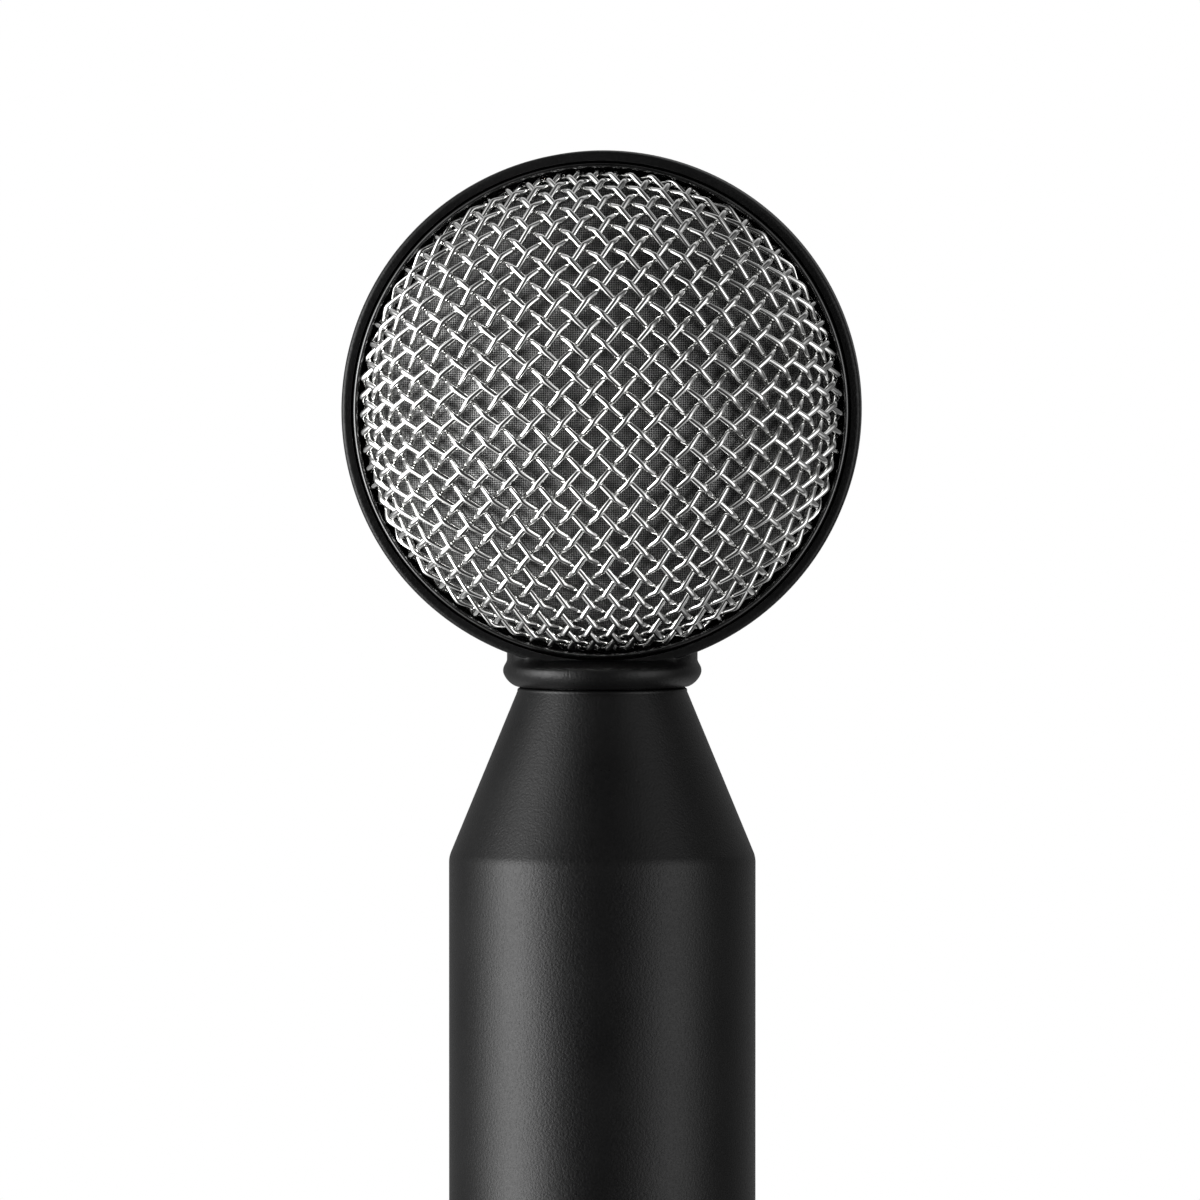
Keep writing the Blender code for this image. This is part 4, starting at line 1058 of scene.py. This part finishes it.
def make_ribbons():
    for side in ("front", "rear"):
        node = f"ribbon_{side}"
        low, high = extent(node)
        line = corrugated_line(low, high)
        half = RIBBON_THICKNESS / 2
        outline = [(y + half, z) for y, z in line] + [(y - half, z) for y, z in reversed(line)]
        total = len(outline)
        bm = bmesh.new()
        loops = [[bm.verts.new((x, y, z)) for y, z in outline] for x in (low.x, high.x)]
        for i in range(total):
            j = (i + 1) % total
            bm.faces.new((loops[0][i], loops[0][j], loops[1][j], loops[1][i]))
        for loop in loops:
            for i in range(len(line) - 1):
                bm.faces.new((loop[i], loop[i + 1], loop[total - 2 - i], loop[total - 1 - i]))
        name = f"{side}_foil"
        add_piece(name, finished_mesh(name, bm), "foil", [node], body=f"{side}_ribbon")


# Connector


def make_connector_shell():
    outer = SHELL_HIGH.x
    low, high = SHELL_LOW.z, SHELL_HIGH.z
    edge = CONNECTOR_ROUND
    outline = arc((outer - edge, high - edge), edge, 90, 0, steps=4)
    outline += arc((outer - edge, low + edge), edge, 0, -90, steps=4)
    outline += arc((CONNECTOR_INNER + edge, low + edge), edge, -90, -180, steps=4)
    outline += [
        (CONNECTOR_INNER, CONNECTOR_SHOULDER_Z),
        (CONNECTOR_COUNTERBORE, CONNECTOR_SHOULDER_Z),
        (CONNECTOR_COUNTERBORE, high),
    ]
    start_y = (CONNECTOR_INNER + outer) / 2 - NOTCH_START
    keyway = block(
        "keyway",
        (-KEYWAY_WIDTH / 2, start_y, low - OVERSHOOT),
        (KEYWAY_WIDTH / 2, CONNECTOR_INNER + KEYWAY_DEPTH, KEYWAY_TOP_Z),
    )
    latch = block(
        "latch",
        (-LATCH_WIDTH / 2, start_y, LATCH_HEIGHTS[0]),
        (LATCH_WIDTH / 2, outer + OVERSHOOT, LATCH_HEIGHTS[1]),
    )
    name = "connector_shell_fine"
    mesh = combined(turned(name, outline, MEDIUM), [("DIFFERENCE", keyway), ("DIFFERENCE", latch)])
    add_piece(name, mesh, "nickel", ["connector_shell"], even_normals=True)


def make_contacts():
    """The three pins with their solder cups, and the insert that carries them."""
    holes = []
    for number in (1, 2, 3):
        node = f"connector_pin_{number}"
        low, high = extent(node)
        centre = (low + high) / 2
        radius = (high.x - low.x) / 2
        place = Matrix.Translation((centre.x, centre.y, 0))
        outline = [(0, low.z)]
        outline += arc((radius - PIN_NOSE, low.z + PIN_NOSE), PIN_NOSE, -90, 0, steps=6)
        outline += [
            (radius, high.z),
            (PIN_CUP_RADIUS, high.z),
            (PIN_CUP_RADIUS, high.z - PIN_CUP_DEPTH),
            (0, high.z - PIN_CUP_DEPTH),
        ]
        name = f"contact_{number}"
        add_piece(name, turned(name, outline, COARSE, place), "gold", [node])
        hole = cylinder(PIN_CLEARANCE, INSERT_LOW.z - OVERSHOOT, INSERT_HIGH.z + OVERSHOOT)
        holes.append(("DIFFERENCE", turned("pin_hole", hole, COARSE, place)))
    edge = CONNECTOR_ROUND
    disc = [(0, INSERT_LOW.z)]
    disc += arc((INSERT_HIGH.x - edge, INSERT_LOW.z + edge), edge, -90, 0, steps=4)
    disc += [(INSERT_HIGH.x, INSERT_HIGH.z), (0, INSERT_HIGH.z)]
    mesh = combined(turned("contact_carrier", disc, MEDIUM), holes)
    add_piece("contact_carrier", mesh, "insert", ["connector_insert"], even_normals=True)


def make_connector_screw():
    """The slotted screw in the back of the shaft that holds the connector."""
    radius = (SCREW_HIGH.x - SCREW_LOW.x) / 2
    edge = SCREW_ROUND
    head_start = SCREW_LOW.y + SCREW_SHANK_LENGTH
    outline = [
        (0, SCREW_LOW.y),
        (SCREW_SHANK_RADIUS, SCREW_LOW.y),
        (SCREW_SHANK_RADIUS, head_start),
        (radius, head_start),
    ]
    outline += arc((radius - edge, SCREW_HIGH.y - edge), edge, 0, 90, steps=4)
    outline += [(0, SCREW_HIGH.y)]
    slot = block(
        "slot",
        (-2 * radius, SCREW_HIGH.y - SLOT_DEPTH, SCREW_Z - SLOT_WIDTH / 2),
        (2 * radius, SCREW_HIGH.y + OVERSHOOT, SCREW_Z + SLOT_WIDTH / 2),
    )
    mesh = turned("connector_fixing", outline, COARSE, along((0, 1, 0), (0, 0, SCREW_Z)))
    mesh = combined(mesh, [("DIFFERENCE", slot)])
    add_piece("connector_fixing", mesh, "steel", ["connector_screw"], even_normals=True)


# Studio


def towards(azimuth, elevation):
    """The direction out from the head at an azimuth and an elevation in degrees."""
    a, e = math.radians(azimuth), math.radians(elevation)
    return Vector((math.sin(a) * math.cos(e), -math.cos(a) * math.cos(e), math.sin(e)))


def make_camera():
    data = bpy.data.cameras.new("camera")
    data.sensor_width = SENSOR_WIDTH
    data.lens = SENSOR_WIDTH * CAMERA_DISTANCE / FIELD_WIDTH
    data.clip_start = 0.05
    data.clip_end = 20.0
    camera = bpy.data.objects.new("camera", data)
    bpy.context.scene.collection.objects.link(camera)
    back = towards(CAMERA_AZIMUTH, CAMERA_ELEVATION)
    camera.location = (Vector(CAMERA_TARGET) + back * CAMERA_DISTANCE) * MM
    camera.rotation_euler = (-back).to_track_quat("-Z", "Y").to_euler()
    bpy.context.scene.camera = camera


def area_light(name, azimuth, elevation, distance, size, power):
    """A soft rectangular light, aimed at the head."""
    data = bpy.data.lights.new(name, "AREA")
    data.shape = "RECTANGLE"
    data.size = size[0] * MM
    data.size_y = size[1] * MM
    data.energy = power
    light = bpy.data.objects.new(name, data)
    bpy.context.scene.collection.objects.link(light)
    away = towards(azimuth, elevation)
    light.location = (Vector((0, 0, HEAD_Z)) + away * distance) * MM
    light.rotation_euler = (-away).to_track_quat("-Z", "Y").to_euler()
    light.visible_camera = False


def soft_patch(sky, azimuth, elevation, centre, spread, strength):
    """A patch of light that fades as a bell curve, about a place and with spreads in degrees."""
    across = sky.math("SUBTRACT", azimuth, math.radians(centre[0]))
    across = sky.math("DIVIDE", across, math.radians(spread[0]))
    up = sky.math("SUBTRACT", elevation, math.radians(centre[1]))
    up = sky.math("DIVIDE", up, math.radians(spread[1]))
    distance = sky.math("ADD", sky.math("MULTIPLY", across, across), sky.math("MULTIPLY", up, up))
    fade = sky.math("EXPONENT", sky.math("MULTIPLY", distance, -0.5))
    return sky.math("MULTIPLY", fade, strength)


def make_world():
    """White for the camera. As light: soft patches beside the head and a dimmer backdrop behind it."""
    world = bpy.data.worlds.new("studio")
    world.use_nodes = True
    bpy.context.scene.world = world
    sky = Nodes(world.node_tree)
    sky.tree.nodes.clear()
    direction = sky.tree.nodes.new("ShaderNodeTexCoord").outputs["Generated"]
    x, y, z = sky.node("ShaderNodeSeparateXYZ", {0: direction}).outputs
    azimuth = sky.math("ARCTAN2", x, sky.math("MULTIPLY", y, -1.0))
    elevation = sky.math("ARCSINE", z)
    behind = sky.remap(y, BACKDROP_Y, (0.0, 1.0), "SMOOTHSTEP")
    backdrop = sky.remap(sky.math("ABSOLUTE", z), BACKDROP_Z, BACKDROP, "SMOOTHSTEP")
    strength = sky.math("ADD", sky.math("MULTIPLY", behind, backdrop), WORLD_STRENGTH)
    for patch in SOFT_PATCHES:
        strength = sky.math("ADD", strength, soft_patch(sky, azimuth, elevation, *patch))
    seen = sky.node("ShaderNodeBackground", {"Color": (1, 1, 1, 1)})
    lit = sky.node("ShaderNodeBackground", {"Color": (1, 1, 1, 1), "Strength": strength})
    rays = sky.tree.nodes.new("ShaderNodeLightPath")
    inputs = {0: rays.outputs["Is Camera Ray"], 1: lit.outputs[0], 2: seen.outputs[0]}
    mix = sky.node("ShaderNodeMixShader", inputs)
    sky.node("ShaderNodeOutputWorld", {"Surface": mix.outputs[0]})


def make_floor():
    """A pale round floor that fades out at its rim."""
    bm = bmesh.new()
    radius = FLOOR_RADIUS * MM
    bmesh.ops.create_circle(bm, cap_ends=True, cap_tris=True, segments=FINE, radius=radius)
    mesh = bpy.data.meshes.new("floor")
    bm.to_mesh(mesh)
    bm.free()
    floor = bpy.data.objects.new("floor", mesh)
    floor.location = (0, 0, CAD_BOX[0].z)
    bpy.context.scene.collection.objects.link(floor)
    recipe = Recipe("pale_floor")
    clouds = recipe.noise(FLOOR_CLOUDS, detail=2)
    colour = recipe.tones(clouds, grey(0.9), grey(0.93))
    length = recipe.node("ShaderNodeVectorMath", {0: recipe.place}, operation="LENGTH")
    fade = recipe.remap(length.outputs["Value"], (FLOOR_FADE_START * MM, radius), (1, 0))
    recipe.tree.links.new(fade, recipe.shader.inputs["Alpha"])
    mesh.materials.append(recipe.finish(colour, recipe.remap(clouds, NOISE_SPAN, (0.6, 0.7))))
    floor.visible_glossy = False
    floor.visible_diffuse = False
    floor.visible_shadow = False


def make_studio():
    bpy.context.scene.view_settings.view_transform = "Standard"
    make_camera()
    make_world()
    make_floor()
    for settings in AREA_LIGHTS:
        area_light(*settings)


finishes = make_finishes()
dress_cad_nodes()
make_shaft()
make_head_frame()
make_bezels_and_gauzes()
make_wire_domes()
make_ribbons()
make_connector_shell()
make_contacts()
make_connector_screw()
make_studio()
